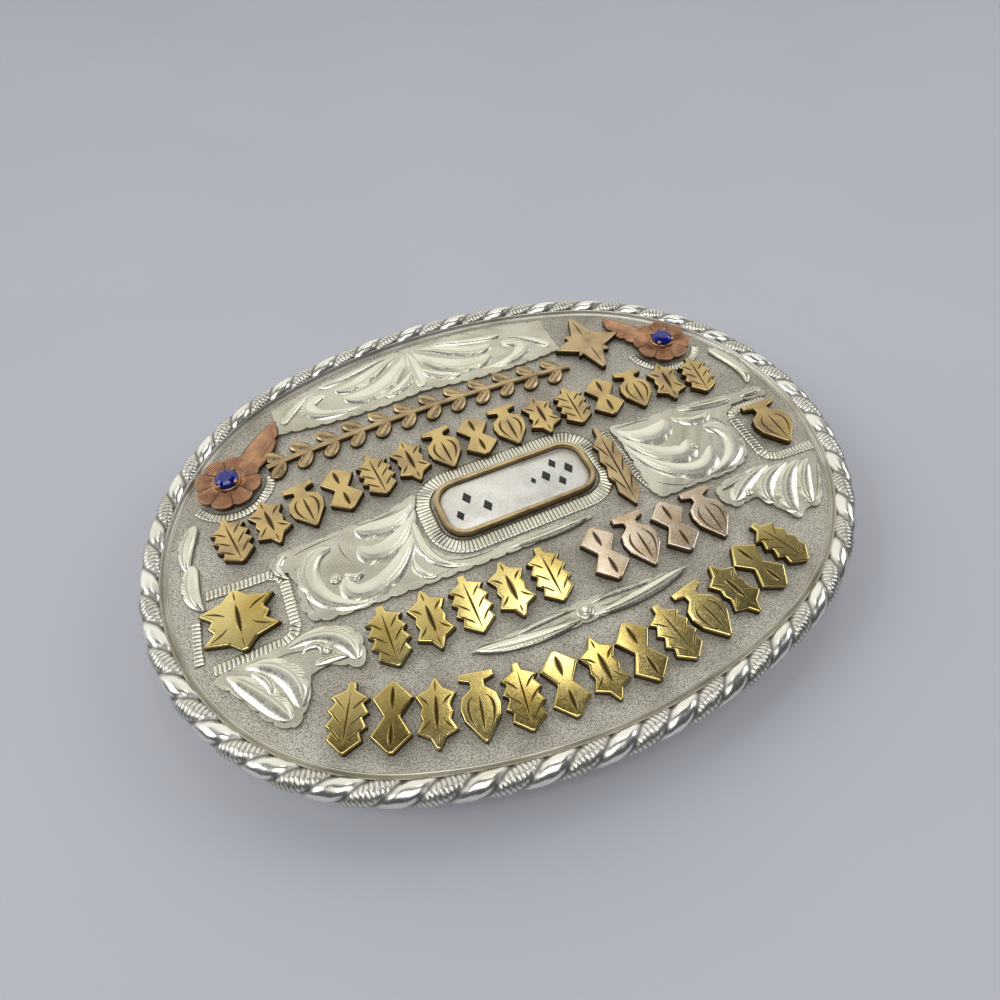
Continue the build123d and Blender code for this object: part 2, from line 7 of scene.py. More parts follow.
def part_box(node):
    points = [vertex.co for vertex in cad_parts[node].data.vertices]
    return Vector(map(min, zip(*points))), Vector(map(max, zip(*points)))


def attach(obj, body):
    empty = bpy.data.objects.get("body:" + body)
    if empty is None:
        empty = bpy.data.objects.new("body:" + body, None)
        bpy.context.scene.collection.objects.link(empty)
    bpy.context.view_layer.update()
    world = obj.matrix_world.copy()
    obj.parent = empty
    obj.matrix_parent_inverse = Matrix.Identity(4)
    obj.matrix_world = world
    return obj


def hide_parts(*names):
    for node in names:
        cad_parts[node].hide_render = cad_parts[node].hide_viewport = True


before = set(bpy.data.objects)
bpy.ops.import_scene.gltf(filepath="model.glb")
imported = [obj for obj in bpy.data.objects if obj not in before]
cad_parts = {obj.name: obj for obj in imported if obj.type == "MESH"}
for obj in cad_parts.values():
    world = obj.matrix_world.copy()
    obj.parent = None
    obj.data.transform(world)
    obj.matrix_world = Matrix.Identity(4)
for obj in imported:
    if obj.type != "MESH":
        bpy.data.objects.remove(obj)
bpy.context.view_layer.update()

# Base plate
# An oval sheet of nickel silver. Its face is matted all over with a fine punch so that the relief stands out,
# and two fine rails and a smooth cove lead up to the rope edge.

mm = 0.001
half_length = 48.5
half_width = 37.1
end_radius = 34.7
side_radius = (half_length**2 - 2 * half_length * end_radius + half_width**2) / (2 * (half_width - end_radius))
end_centre_x = half_length - end_radius
side_centre_y = side_radius - half_width
joint_angle = np.arctan2(side_centre_y, end_centre_x)
end_arc = end_radius * joint_angle
side_arc = side_radius * (np.pi / 2 - joint_angle)
rope_length = 4 * (end_arc + side_arc)

border_height = 0.65
plate_low, plate_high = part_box("base_plate")
plate_bottom = plate_low.z / mm
face_z = plate_high.z / mm - border_height
solder_gap = 0.02
relief_z = face_z + solder_gap


def oval_points(share, inset):
    """Points on the oval and their outward directions.

    The oval is two end arcs and two side arcs that meet smoothly. share runs from 0 to 1 round it, anticlockwise
    from its right end, by length along the middle of the rope edge, and inset moves the points inwards.
    """
    quarter = end_arc + side_arc
    distance = np.mod(share, 1.0) * rope_length
    number = np.floor(distance / quarter).astype(int) % 4
    step = distance - np.floor(distance / quarter) * quarter
    step = np.where(number % 2 == 1, quarter - step, step)
    on_end = step < end_arc
    turn = np.where(on_end, step / end_radius, joint_angle + (step - end_arc) / side_radius)
    x = np.where(on_end, end_centre_x + end_radius * np.cos(turn), side_radius * np.cos(turn))
    y = np.where(on_end, end_radius * np.sin(turn), side_radius * np.sin(turn) - side_centre_y)
    flip_x = np.where((number == 1) | (number == 2), -1.0, 1.0)
    flip_y = np.where(number >= 2, -1.0, 1.0)
    outward = np.stack([flip_x * np.cos(turn), flip_y * np.sin(turn)], -1)
    return np.stack([flip_x * x, flip_y * y], -1) - outward * np.asarray(inset)[..., None], outward


def with_height(xy, height):
    """A grid of x and y with a height for each point, each column or the whole grid."""
    return np.concatenate([xy, np.broadcast_to(height, xy.shape[:2])[..., None]], -1)


def smooth_step(low, high, value):
    """Rises from 0 at low to 1 at high, with level ends."""
    part = np.clip((value - low) / (high - low), 0, 1)
    return part * part * (3 - 2 * part)


def patch(points, wrap_rows=False, wrap_columns=True, painted_shade=0.0, flat_ends=False):
    """One grid of points for make_piece: how it closes, and how much painted shade each point holds, 0 to 1.

    A grid that wraps joins its last row or column to its first. With flat ends, one flat face closes the ring of
    its first column and another that of its last.
    """
    return points, wrap_rows, wrap_columns, np.broadcast_to(painted_shade, points.shape[:2]), flat_ends


def make_piece(name, patches, material, nodes=(), sharp_degrees=40.0):
    """Joins grids of points in millimetres into one closed mesh that rides on the buckle.

    Each cell between four neighbouring points is a face. Points that coincide are merged, so poles and seams
    close, and the faces are turned outwards.
    """
    faces = []
    places = []
    held = []
    start = 0
    for points, wrap_rows, wrap_columns, painted_shade, flat_ends in patches:
        rows, columns = points.shape[:2]
        index = np.arange(rows * columns).reshape(rows, columns) + start
        if flat_ends:
            faces += [index[:, 0].tolist(), index[::-1, -1].tolist()]
        if wrap_rows:
            index = np.vstack([index, index[:1]])
        if wrap_columns:
            index = np.hstack([index, index[:, :1]])
        cells = np.stack([index[:-1, :-1], index[1:, :-1], index[1:, 1:], index[:-1, 1:]], -1)
        faces += cells.reshape(-1, 4).tolist()
        places.append(points.reshape(-1, 3) * mm)
        held.append(np.asarray(painted_shade, float).reshape(-1))
        start += rows * columns
    mesh = bpy.data.meshes.new(name)
    mesh.from_pydata(np.vstack(places), [], faces)
    depth = mesh.attributes.new("painted_shade", "FLOAT", "POINT")
    depth.data.foreach_set("value", np.hstack(held).astype(np.float32))
    shell = bmesh.new()
    shell.from_mesh(mesh)
    bmesh.ops.remove_doubles(shell, verts=shell.verts, dist=1e-7)
    bmesh.ops.dissolve_degenerate(shell, edges=shell.edges, dist=1e-8)
    bmesh.ops.recalc_face_normals(shell, faces=shell.faces)
    shell.to_mesh(mesh)
    shell.free()
    mesh.shade_smooth()
    mesh.set_sharp_from_angle(angle=np.radians(sharp_degrees))
    mesh.materials.append(material)
    piece = bpy.data.objects.new(name, mesh)
    bpy.context.scene.collection.objects.link(piece)
    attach(piece, "root")
    if nodes:
        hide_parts(*nodes)
    return piece


def linear(code):
    """Linear colour from an sRGB hex value: each channel's sRGB curve is undone."""
    channels = np.array([int(code[place:place + 2], 16) for place in (1, 3, 5)]) / 255
    low = channels / 12.92
    high = ((channels + 0.055) / 1.055) ** 2.4
    return (*np.where(channels <= 0.04045, low, high).tolist(), 1.0)


def add(tree, kind, inputs=None, **settings):
    """Adds a node. settings are its own options, and inputs its sockets' values or links."""
    node = tree.nodes.new(kind)
    for option, value in settings.items():
        setattr(node, option, value)
    for socket, value in (inputs or {}).items():
        if isinstance(value, bpy.types.NodeSocket):
            tree.links.new(value, node.inputs[socket])
        else:
            node.inputs[socket].default_value = value
    return node


def new_material(name):
    """An empty node tree with one surface shader wired to its output."""
    material = bpy.data.materials.new(name)
    material.use_nodes = True
    tree = material.node_tree
    tree.nodes.clear()
    shader = add(tree, "ShaderNodeBsdfPrincipled")
    add(tree, "ShaderNodeOutputMaterial", {"Surface": shader.outputs["BSDF"]})
    return material, tree, shader


def worn_metal_with_painted_shade(name, bright, dull, painted_shade, smooth, rough, grain_mm, grain_depth_mm, patch_mm=5.0, speckle=0.0):
    """A metal that is bright where it is rubbed and dull in patches, with painted shade in its cuts and corners.

    A coarse noise mixes bright and dull, and the painted_shade attribute lays the dark colour on top as painted
    shade. A fine noise of the grain's size gives the roughness, a shallow relief and, for a punched ground, dark
    specks in the same dark colour.
    """
    material, tree, shader = new_material(name)
    place = add(tree, "ShaderNodeTexCoord").outputs["Object"]
    coarse = add(tree, "ShaderNodeTexNoise", {"Vector": place, "Scale": 1 / (patch_mm * mm), "Detail": 5.0})
    fine = add(tree, "ShaderNodeTexNoise", {"Vector": place, "Scale": 1 / (grain_mm * mm), "Detail": 3.0,
                                            "Roughness": 0.7})
    patches = add(tree, "ShaderNodeMapRange", {"Value": coarse.outputs[0], "From Min": 0.42, "From Max": 0.66})
    specks = add(tree, "ShaderNodeMapRange", {"Value": fine.outputs[0], "From Min": 0.56, "From Max": 0.36,
                                              "To Max": speckle})
    held = add(tree, "ShaderNodeAttribute", attribute_name="painted_shade")
    # The larger of the punched ground's dark specks and the painted shade from the attribute
    specks_and_shade = add(tree, "ShaderNodeMath", {0: specks.outputs[0], 1: held.outputs["Fac"]}, operation="MAXIMUM")
    metal = add(tree, "ShaderNodeMix", {"Factor": patches.outputs[0], "A": linear(bright), "B": linear(dull)},
                data_type="RGBA")
    colour = add(tree, "ShaderNodeMix", {"Factor": specks_and_shade.outputs[0], "A": metal.outputs["Result"],
                                         "B": linear(painted_shade)}, data_type="RGBA")
    roughness = add(tree, "ShaderNodeMapRange", {"Value": fine.outputs[0], "From Min": 0.3, "From Max": 0.7,
                                                 "To Min": smooth, "To Max": rough})
    dulled = add(tree, "ShaderNodeMath", {0: held.outputs["Fac"], 1: 0.3, 2: roughness.outputs[0]},
                 operation="MULTIPLY_ADD")
    relief = add(tree, "ShaderNodeBump", {"Height": fine.outputs[0], "Distance": grain_depth_mm * mm})
    for socket, value in (("Base Color", colour.outputs["Result"]), ("Roughness", dulled.outputs[0]),
                          ("Normal", relief.outputs["Normal"])):
        tree.links.new(value, shader.inputs[socket])
    shader.inputs["Metallic"].default_value = 1.0
    return material


# Nickel silver matted with a fine punch: it scatters light like frost, grey with bright and dark specks. The
# punch marks are about 0.16 mm apart.
frosted_silver = worn_metal_with_painted_shade("frosted_nickel_silver", "#dedacd", "#c1bcae", "#6b655a", 0.38, 0.6, 0.16, 0.1,
                            patch_mm=8.0, speckle=1.0)
# Nickel silver burnished with a hard tool: smooth, with yellow-grey shade painted in its angles.
burnished_silver = worn_metal_with_painted_shade("burnished_nickel_silver", "#dcd8ca", "#b9b4a5", "#77705f", 0.32, 0.48, 0.4, 0.006,
                              patch_mm=6.0)

# Rows of inset from the rope's middle line and height over the matted face
plate_profile = np.array([(2.6, -0.02), (2.3, 0.0), (1.1, 0.0), (1.0, -0.1), (1.15, plate_bottom - face_z + 0.1),
                          (1.25, plate_bottom - face_z)])
rail_profile = np.array([
    (2.06, -0.2), (2.03, 0.0), (1.98, 0.08), (1.91, 0.11), (1.84, 0.09), (1.78, 0.05), (1.72, 0.09), (1.63, 0.17),
    (1.54, 0.29), (1.45, 0.44), (1.37, 0.58), (1.3, 0.67), (1.22, 0.7), (1.15, 0.68), (1.12, -0.2),
])


def oval_ring(profile, steps=720):
    """A section, as rows of inset and height, carried round the oval."""
    share = np.arange(steps)[:, None] / steps
    xy, outward = oval_points(share, profile[None, :, 0])
    return with_height(xy, face_z + profile[:, 1])


make_piece("matted_base_plate", [patch(oval_ring(plate_profile), True, False, flat_ends=True)], frosted_silver,
           ["base_plate"])
# Painted shade at the foot where the rail meets the matted face, in the dip between the two rails and where the
# cove meets the rope
rail_shade = np.interp(rail_profile[:, 0], [1.22, 1.3, 1.6, 1.74, 1.78, 1.82, 1.98, 2.04],
                       [0.5, 0.1, 0.15, 0.1, 0.6, 0.1, 0.05, 0.5])
make_piece("burnished_rail", [patch(oval_ring(rail_profile), True, True, rail_shade[None, :])], burnished_silver)


# Rope edge
# Two round wires of nickel silver twisted round each other, pressed together and soldered round the plate. One
# is plain and polished, the other was wound with fine wire before it was twisted.

rope_turns = 35
rope_radius = 1.56
rope_sink = 0.16
rope_z = face_z - rope_sink
plain_start_degrees = -79.4
stations_per_turn = 28
winding_pitch = 0.43
stations_per_winding = 6


def strand_patch(start_degrees, stations, winding_count=0):
    """One half of the twisted rope: sections square to the rope's middle line that turn steadily along it.

    A section's distance from the middle line falls off towards the other strand, as the sixth power of the sine
    of the angle, and a flat side closes it. On the wound strand it rises and falls with each turn of the fine
    wire, as a power of a sine.
    """
    share = np.arange(stations) / stations
    middle, outward = oval_points(share, 0.0)
    turn = (np.radians(start_degrees) + 2 * np.pi * rope_turns * share)[:, None]
    angle = np.linspace(-np.pi / 2, np.pi / 2, 21 if winding_count else 15)[None, :]
    distance = rope_radius * (1 - 0.17 * np.sin(angle) ** 6) * np.ones_like(turn)
    crest = np.ones_like(distance)
    if winding_count:
        wave = np.pi * winding_count * share[:, None] + 2.7 * angle
        crest = np.abs(np.sin(wave)) ** 0.55
        distance = distance - 0.15 * (1 - crest) * np.cos(angle) ** 0.5
    sideways = distance * np.cos(turn + angle)
    upwards = distance * np.sin(turn + angle)
    for place in (0.5, -0.5):
        sideways = np.hstack([sideways, place * rope_radius * np.cos(turn + np.pi / 2) + 0.03 * np.cos(turn)])
        upwards = np.hstack([upwards, place * rope_radius * np.sin(turn + np.pi / 2) + 0.03 * np.sin(turn)])
    xy = middle[:, None] + outward[:, None] * sideways[..., None]
    # Painted shade: dark where the two strands meet, in the grooves between the turns of the fine wire, and over
    # the flat sides between the strands
    edge = np.abs(np.sin(angle)) ** 24
    painted_shade = np.maximum(0.8 * edge, 0.95 * (1 - crest))
    painted_shade = np.hstack([painted_shade, np.ones((stations, 2))])
    return patch(with_height(xy, rope_z + upwards), wrap_rows=True, painted_shade=painted_shade)


# Polished nickel silver: bright with soft reflections, slightly warm, with light handling marks, and dark shade
# painted where the strands meet.
polished_silver = worn_metal_with_painted_shade("polished_nickel_silver", "#f6f4ea", "#e9e6d8", "#3f3b35", 0.2, 0.3, 0.5, 0.003,
                             patch_mm=7.0)
# The same metal drawn to fine wire: satin along the ridges, with dark shade painted in the grooves between turns
# and where the strands meet.
wire_silver = worn_metal_with_painted_shade("wound_fine_silver_wire", "#f4f1e6", "#dfdbcd", "#2b2822", 0.22, 0.34, 0.5, 0.003,
                         patch_mm=7.0)
make_piece("plain_rope_strand", [strand_patch(plain_start_degrees, rope_turns * stations_per_turn)],
           polished_silver, ["rope_smooth_strand"], 60.0)
windings = int(round(rope_length / winding_pitch))
make_piece("wound_rope_strand",
           [strand_patch(plain_start_degrees + 180, windings * stations_per_winding, windings)], wire_silver,
           ["rope_wrapped_strand"], 60.0)


# Engraved silver overlays
# Scrolls cut from thin silver sheet and bright-cut with a graver: smooth crowned leaves with a deep outline and
# shading cuts stand on a stippled sheet, with dark shade painted along their outlines and in their cuts. They are
# soldered flat on the matted face.

overlay_thickness = 0.7
sheet_thickness = 0.4

# Points that each sheet's smooth outline runs through
overlay_outlines = {
    "upper_left_leaves": (
        (-43.4, 11.4), (-42.4, 14.5), (-40.3, 17.6), (-38.0, 19.6), (-36.4, 19.4), (-34.6, 20.3), (-33.4, 18.4),
        (-32.2, 16.8), (-31.4, 15.2), (-29.8, 15.2), (-28.0, 15.4), (-26.7, 14.0), (-26.5, 12.2), (-28.4, 10.9),
        (-32.0, 10.5), (-36.4, 10.6), (-40.2, 11.2),
    ),
    "upper_right_leaves": (
        (25.3, 12.5), (25.0, 15.0), (26.0, 17.1), (27.8, 16.4), (29.8, 15.5), (31.6, 15.9), (32.5, 17.8),
        (33.4, 19.8), (35.0, 21.2), (36.8, 20.4), (38.6, 18.2), (40.6, 15.0), (42.5, 11.9), (40.6, 11.3),
        (36.4, 10.9), (32.6, 10.6), (29.6, 10.4), (27.0, 10.9),
    ),
    "left_scroll": (
        (-18.7, -4.5), (-22.0, -4.4), (-27.0, -4.3), (-32.0, -4.2), (-36.6, -3.7), (-40.5, -3.2), (-44.4, -2.7),
        (-44.6, -1.5), (-41.0, -1.2), (-37.6, -0.7), (-36.2, 1.0), (-35.9, 5.0), (-34.6, 8.1), (-31.8, 9.6),
        (-27.0, 9.9), (-22.6, 9.9), (-19.0, 9.5), (-18.5, 6.0), (-18.7, 2.0), (-18.9, -2.0),
    ),
    "right_scroll": (
        (12.4, -4.3), (16.0, -3.5), (20.5, -3.0), (25.5, -2.7), (30.0, -2.5), (32.6, -2.0), (33.5, -0.7),
        (32.2, 0.6), (31.0, 2.4), (31.0, 6.0), (30.0, 9.0), (26.5, 9.8), (20.0, 9.9), (12.0, 9.9), (4.0, 9.8),
        (-4.0, 9.5), (-9.0, 8.8), (-4.0, 8.1), (4.0, 8.0), (9.6, 7.7), (12.4, 5.6), (13.4, 2.0), (13.2, -1.4),
    ),
    "slim_leaf_bar": (
        (-16.4, 20.7), (-12.0, 21.6), (-6.0, 22.5), (-1.4, 22.8), (3.2, 22.5), (9.2, 21.6), (13.6, 20.7),
        (9.2, 20.3), (3.2, 19.9), (-1.4, 19.7), (-6.0, 19.9), (-12.0, 20.3),
    ),
}

# Leaves, each along a cubic curve: rows of start x and y, two guide points, end x and y, width
overlay_leaves = {
    "upper_left_leaves": (
        (-42.4, 12.0, -40.4, 13.4, -38.0, 16.0, -37.6, 18.9, 2.0),
        (-41.0, 11.8, -37.6, 12.8, -34.0, 16.4, -34.9, 19.4, 2.5),
        (-39.2, 11.6, -35.6, 11.8, -32.0, 13.8, -32.9, 16.9, 2.1),
        (-36.4, 11.0, -33.4, 11.0, -30.0, 12.4, -28.1, 14.6, 2.0),
        (-33.6, 11.0, -32.0, 11.2, -29.6, 11.5, -27.4, 12.2, 0.8),
    ),
    "upper_right_leaves": (
        (41.4, 12.0, 39.6, 13.6, 36.8, 16.8, 35.3, 20.3, 2.3),
        (39.6, 11.9, 36.0, 12.0, 32.6, 15.2, 34.0, 19.2, 2.4),
        (37.0, 17.4, 36.2, 15.8, 36.6, 14.0, 38.4, 13.0, 1.3),
        (34.4, 11.6, 30.4, 10.4, 26.0, 11.6, 26.4, 16.2, 2.2),
        (32.4, 13.0, 31.2, 11.6, 29.0, 12.4, 30.2, 13.8, 1.1),
        (26.8, 15.6, 28.0, 14.8, 29.4, 14.5, 31.2, 14.9, 1.1),
    ),
    "left_scroll": (
        (-19.2, -3.9, -21.0, -0.4, -25.2, 0.8, -26.9, -2.6, 3.1),
        (-19.1, -3.2, -20.6, 3.2, -27.2, 6.8, -28.0, 2.2, 2.9),
        (-19.1, -1.4, -19.8, 6.4, -28.4, 11.2, -30.4, 4.6, 2.5),
        (-26.0, 9.0, -35.6, 9.6, -36.0, 1.2, -31.4, 1.2, 2.4),
        (-28.0, -3.0, -29.5, -0.6, -32.0, 0.0, -34.0, -1.2, 1.6),
        (-29.6, -3.6, -33.0, -2.7, -36.0, -2.3, -38.6, -2.3, 1.2),
        (-40.2, -2.2, -41.4, -1.9, -42.8, -1.9, -44.0, -2.2, 0.7),
    ),
    "right_scroll": (
        (13.0, -3.5, 14.6, -0.4, 19.0, 0.2, 21.6, -2.0, 2.6),
        (13.2, -3.0, 14.8, 2.4, 20.8, 5.2, 21.8, 0.9, 2.8),
        (13.6, -1.4, 15.4, 7.4, 25.8, 11.0, 24.8, 4.8, 2.6),
        (20.8, 9.1, 30.6, 10.4, 31.2, -1.2, 25.4, -0.4, 2.4),
        (22.0, 4.4, 22.8, 5.4, 23.8, 5.6, 24.6, 4.2, 1.0),
        (31.4, 2.0, 33.0, 0.8, 33.2, -1.0, 31.0, -1.7, 1.1),
        (8.6, 9.2, 14.2, 8.8, 15.0, 3.2, 13.9, 0.2, 1.4),
        (15.4, 4.8, 16.4, 6.6, 16.0, 8.2, 13.8, 9.3, 1.1),
        (4.0, 8.9, 1.0, 9.3, -4.0, 9.2, -8.0, 8.8, 0.9),
    ),
    "slim_leaf_bar": (
        (-1.4, 21.9, -5.4, 22.6, -11.0, 21.8, -15.8, 20.8, 1.3),
        (-1.4, 21.9, 2.6, 22.6, 8.2, 21.8, 13.0, 20.8, 1.3),
        (-2.0, 20.7, -4.6, 20.2, -7.6, 20.4, -10.6, 20.8, 0.8),
        (-0.8, 20.7, 1.8, 20.2, 4.8, 20.4, 7.8, 20.8, 0.8),
    ),
}

# Rows of centre x, centre y, radius
overlay_bulbs = {
    "upper_left_leaves": ((-30.6, 13.9, 0.7),),
    "upper_right_leaves": ((29.4, 13.4, 0.7),),
    "left_scroll": ((-28.2, 3.6, 0.8),),
    "right_scroll": ((26.0, 4.4, 0.8),),
    "slim_leaf_bar": ((-1.4, 21.2, 1.2),),
}
leaf_root_power = 0.7
leaf_tip_power = 0.4


def smooth_loop(points, spacing):
    """Points evenly spaced along the closed cubic spline through the given points.

    The curvature runs on smoothly through each given point, and the parameter is the length of the chords.
    """
    points = np.asarray(points, float)
    count = len(points)
    ahead = np.roll(points, -1, 0) - points
    chord = np.hypot(*ahead.T)
    before = np.roll(chord, 1)
    bend = 6 * (ahead / chord[:, None] - np.roll(ahead / chord[:, None], 1, 0))
    matrix = np.diag(2 * (before + chord)) + np.roll(np.diag(before), -1, 1) + np.roll(np.diag(chord), 1, 1)
    curve = np.linalg.solve(matrix, bend)
    start = np.r_[0, np.cumsum(chord)]
    place = np.linspace(0, start[-1], count * 40, endpoint=False)
    number = np.clip(np.searchsorted(start, place, side="right") - 1, 0, count - 1)
    step = (place - start[number])[:, None]
    left = (start[number + 1] - place)[:, None]
    width = chord[number][:, None]
    following = (number + 1) % count
    line = (curve[number] * left**3 + curve[following] * step**3) / (6 * width)
    line += (points[number] / width - curve[number] * width / 6) * left
    line += (points[following] / width - curve[following] * width / 6) * step
    return even_loop(line, spacing)


def even_loop(points, spacing):
    """Points evenly spaced by length along a closed line of points."""
    loop = np.vstack([points, points[:1]])
    lengths = np.r_[0, np.cumsum(np.hypot(*np.diff(loop, axis=0).T))]
    steps = np.linspace(0, lengths[-1], max(int(lengths[-1] / spacing), 8), endpoint=False)
    return np.stack([np.interp(steps, lengths, loop[:, axis]) for axis in (0, 1)], -1)


def straightness(loop, reach=6):
    """1 where a closed line runs nearly straight and 0 at its sharp tips, from the turn between near points."""
    back = loop - np.roll(loop, reach, 0)
    ahead = np.roll(loop, -reach, 0) - loop
    turn = np.sum(back * ahead, axis=1) / (np.hypot(*back.T) * np.hypot(*ahead.T))
    near = np.min([np.roll(turn, shift) for shift in range(-reach, reach + 1)], axis=0)
    return smooth_step(0.45, 0.95, near)[:, None]


def notched(loop, pitch=2.3, depth=0.32):
    """The loop moved inwards by a power of one less the size of a sine: narrow notches between round lobes."""
    length = np.cumsum(np.hypot(*(np.roll(loop, -1, 0) - loop).T))
    lobes = max(int(round(length[-1] / pitch)), 3)
    notch = (1 - np.abs(np.sin(np.pi * lobes * length / length[-1]))) ** 2
    return loop - outward_normals(loop) * depth * notch[:, None] * straightness(loop)


def outward_normals(loop):
    """Unit normals of a closed line of points, to its outer side, from the points on both sides of each."""
    run = np.roll(loop, -1, 0) - np.roll(loop, 1, 0)
    normal = np.stack([run[:, 1], -run[:, 0]], -1) / np.hypot(*run.T)[:, None]
    area = np.sum(loop[:, 0] * np.roll(loop[:, 1], -1) - np.roll(loop[:, 0], -1) * loop[:, 1])
    return normal * np.sign(area)


def sheet_patch(loop, thickness, bottom, edge=0.12):
    """Flat sheet with this outline: its edge rises straight and turns over a small round shoulder."""
    turn = np.radians([0, 30, 60, 90])
    insets = np.r_[0.0, edge * (1 - np.cos(turn))]
    heights = np.r_[0.0, thickness - edge * 0.7 * (1 - np.sin(turn))]
    inward = -outward_normals(loop) * np.maximum(straightness(loop, 3), 0.05)
    xy = loop[:, None] + inward[:, None] * insets[None, :, None]
    # Painted shade at the foot of the sheet's edge, fading up the wall
    edge_shade = np.array([0.9, 0.6, 0.2, 0.0, 0.0])[None, :]
    return patch(with_height(xy, bottom + heights), True, False, edge_shade, flat_ends=True)


def leaf_line(row, steps):
    """Shares of the length, points and left-hand directions along a leaf's cubic curve, closer at its ends."""
    points = np.array(row[:8], float).reshape(4, 2)
    along = (0.5 - 0.5 * np.cos(np.pi * np.linspace(0, 1, steps)))[:, None]
    back = 1 - along
    line = back**3 * points[0] + 3 * back**2 * along * points[1] + 3 * back * along**2 * points[2]
    line = line + along**3 * points[3]
    run = back**2 * (points[1] - points[0]) + 2 * back * along * (points[2] - points[1])
    run = run + along**2 * (points[3] - points[2])
    run /= np.hypot(*run.T)[:, None]
    return along, line, np.stack([-run[:, 1], run[:, 0]], -1)


def curved_leaf_patch(row, thickness, bottom, steps=96, ribs=12, tip_power=leaf_tip_power, widen=1.0):
    """A leaf along a cubic curve, narrow at its start, widest past the middle and blunt at its end.

    The second parameter runs across. The height is a crown, 1 less the size of the place across to the power
    2.4. A fine line is cut along one side. Outside it the rim has two small notches, and a group of shading cuts
    crosses the leaf 0.42 mm apart, each a narrow sine wave. Dark shade is painted along the edges, in the side
    line and in the shading cuts.
    """
    along, line, left = leaf_line(row, steps)
    length = np.r_[0, np.cumsum(np.hypot(*np.diff(line, axis=0).T))][:, None]
    widest = leaf_root_power / (leaf_root_power + tip_power)
    full = widest**leaf_root_power * (1 - widest) ** tip_power
    half = widen * row[8] / 2 * along**leaf_root_power * (1 - along) ** tip_power / full
    across = np.sin(np.linspace(-np.pi / 2, np.pi / 2, ribs * 2 + 1))[None, :]
    points = np.array(row[:8], float).reshape(4, 2)
    bow = np.cross(points[3] - points[0], (points[1] + points[2]) / 2 - points[0])
    outer = across * (1.0 if bow > 0 else -1.0)
    size = widen * row[8] / 2
    notch = np.exp(-(((along - 0.5) / 0.025) ** 2)) + np.exp(-(((along - 0.74) / 0.025) ** 2))
    reach = half * (1 - 0.22 * (size > 0.9) * notch * smooth_step(0.2, 1.0, outer))
    xy = line[:, None] + left[:, None] * (reach * across)[..., None]
    fade = smooth_step(0.08, 0.25, along) * (1 - smooth_step(0.82, 0.98, along))
    main_cut = np.exp(-(((outer - 0.3) * size / 0.08) ** 2)) * fade
    lines = (0.5 + 0.5 * np.cos(2 * np.pi * (length - 0.8 * size * outer) / 0.42)) ** 3
    zone = smooth_step(0.4, 0.46, along) * (1 - smooth_step(0.78, 0.84, along))
    cross_cut = lines * zone * smooth_step(0.36, 0.44, outer) * (1 - smooth_step(0.8, 0.9, outer)) * (size > 0.6)
    crown = 0.5 + 0.5 * (1 - np.abs(across) ** 2.4)
    rise = smooth_step(0.0, 0.25, along) * (1 - 0.2 * smooth_step(0.75, 1.0, along))
    height = thickness * (0.55 + 0.45 * rise) * crown - 0.1 * main_cut - 0.08 * cross_cut
    top = with_height(xy, bottom + height)
    under = with_height(xy[:, ::-ribs], bottom)
    # Painted shade: dark along the edges, in the side line and in the shading cuts, and under the leaf
    edge = smooth_step(0.84, 1.0, np.abs(across)) * np.ones_like(along)
    painted_shade = np.maximum.reduce([0.9 * edge, 0.8 * main_cut, 0.9 * cross_cut])
    return patch(np.concatenate([top, under], axis=1), painted_shade=np.hstack([painted_shade, np.ones((steps, 3))]))


def cut_grid(row, level, steps=20):
    """A crescent cut along a cubic curve: a strip painted dark as the cut's shade, whose width is a sine of its
    length, in raised lips.
    """
    along, line, left = leaf_line(row, steps)
    across = np.array([-1.0, -0.75, -0.4, 0.0, 0.4, 0.75, 1.0])[None, :]
    half = row[8] / 2 * np.sin(np.pi * np.clip(along, 0, 1)) ** 0.8
    xy = line[:, None] + left[:, None] * (half * across)[..., None]
    lips = np.array([-0.03, 0.02, 0.0, -0.01, 0.0, 0.02, -0.03])[None, :] + 0 * along
    points = np.concatenate([with_height(xy, level + lips), with_height(xy[:, ::-3], level - 0.05)], axis=1)
    # Painted shade: darkest along the middle of the strip, and under it
    dark = np.array([0.2, 0.3, 0.9, 1.0, 0.9, 0.3, 0.2])[None, :] + 0 * along
    return points, np.hstack([dark, np.ones((steps, 3))])


def bulb_patch(row, thickness, bottom, turns=32, rings=10):
    """A low round dome with one ring cut round it: the height is a root of one minus the squared radius. Shade is
    painted dark in the ring cut and round the rim.
    """
    x, y, radius = row
    angle = 2 * np.pi * np.arange(turns)[:, None] / turns
    level = np.linspace(0, 1, rings)[None, :]
    ring_cut = np.exp(-(((level - 0.6) / 0.1) ** 2))
    height = thickness * (0.5 + 0.5 * np.sqrt(1 - 0.96 * level**2)) - 0.06 * ring_cut
    top = np.stack(np.broadcast_arrays(x + radius * level * np.cos(angle), y + radius * level * np.sin(angle),
                                       bottom + height), -1)
    under = np.stack(np.broadcast_arrays(x + radius * level * np.cos(angle), y + radius * level * np.sin(angle),
                                         bottom + 0 * level), -1)[:, ::-1]
    # Painted shade in the ring cut and round the rim, and under the dome
    painted_shade = np.concatenate([np.maximum(0.6 * ring_cut, 0.8 * (level > 0.95)), 1 + 0 * level], axis=1)
    return patch(np.concatenate([top, under], axis=1), True, False, np.broadcast_to(painted_shade, (turns, 2 * rings)))


# Silver sheet brightened by the graver: smooth and light, with a little yellow tarnish, and dark shade painted
# along the edges of the leaves and in the cuts.
bright_cut_silver = worn_metal_with_painted_shade("bright_cut_silver", "#f0eedd", "#dedbc8", "#7d7764", 0.2, 0.34, 0.35, 0.004,
                               patch_mm=6.0)
# The same sheet stippled between the leaves, with marks about 0.22 mm apart, and shade painted at the foot of
# its edge.
stippled_silver = worn_metal_with_painted_shade("stippled_silver", "#dfdccb", "#cac6b2", "#8d8876", 0.26, 0.46, 0.22, 0.03,
                             patch_mm=5.0, speckle=0.45)

# Each leaf is cut this much wider than its row says, so that neighbours nearly touch
leaf_widen = 1.35
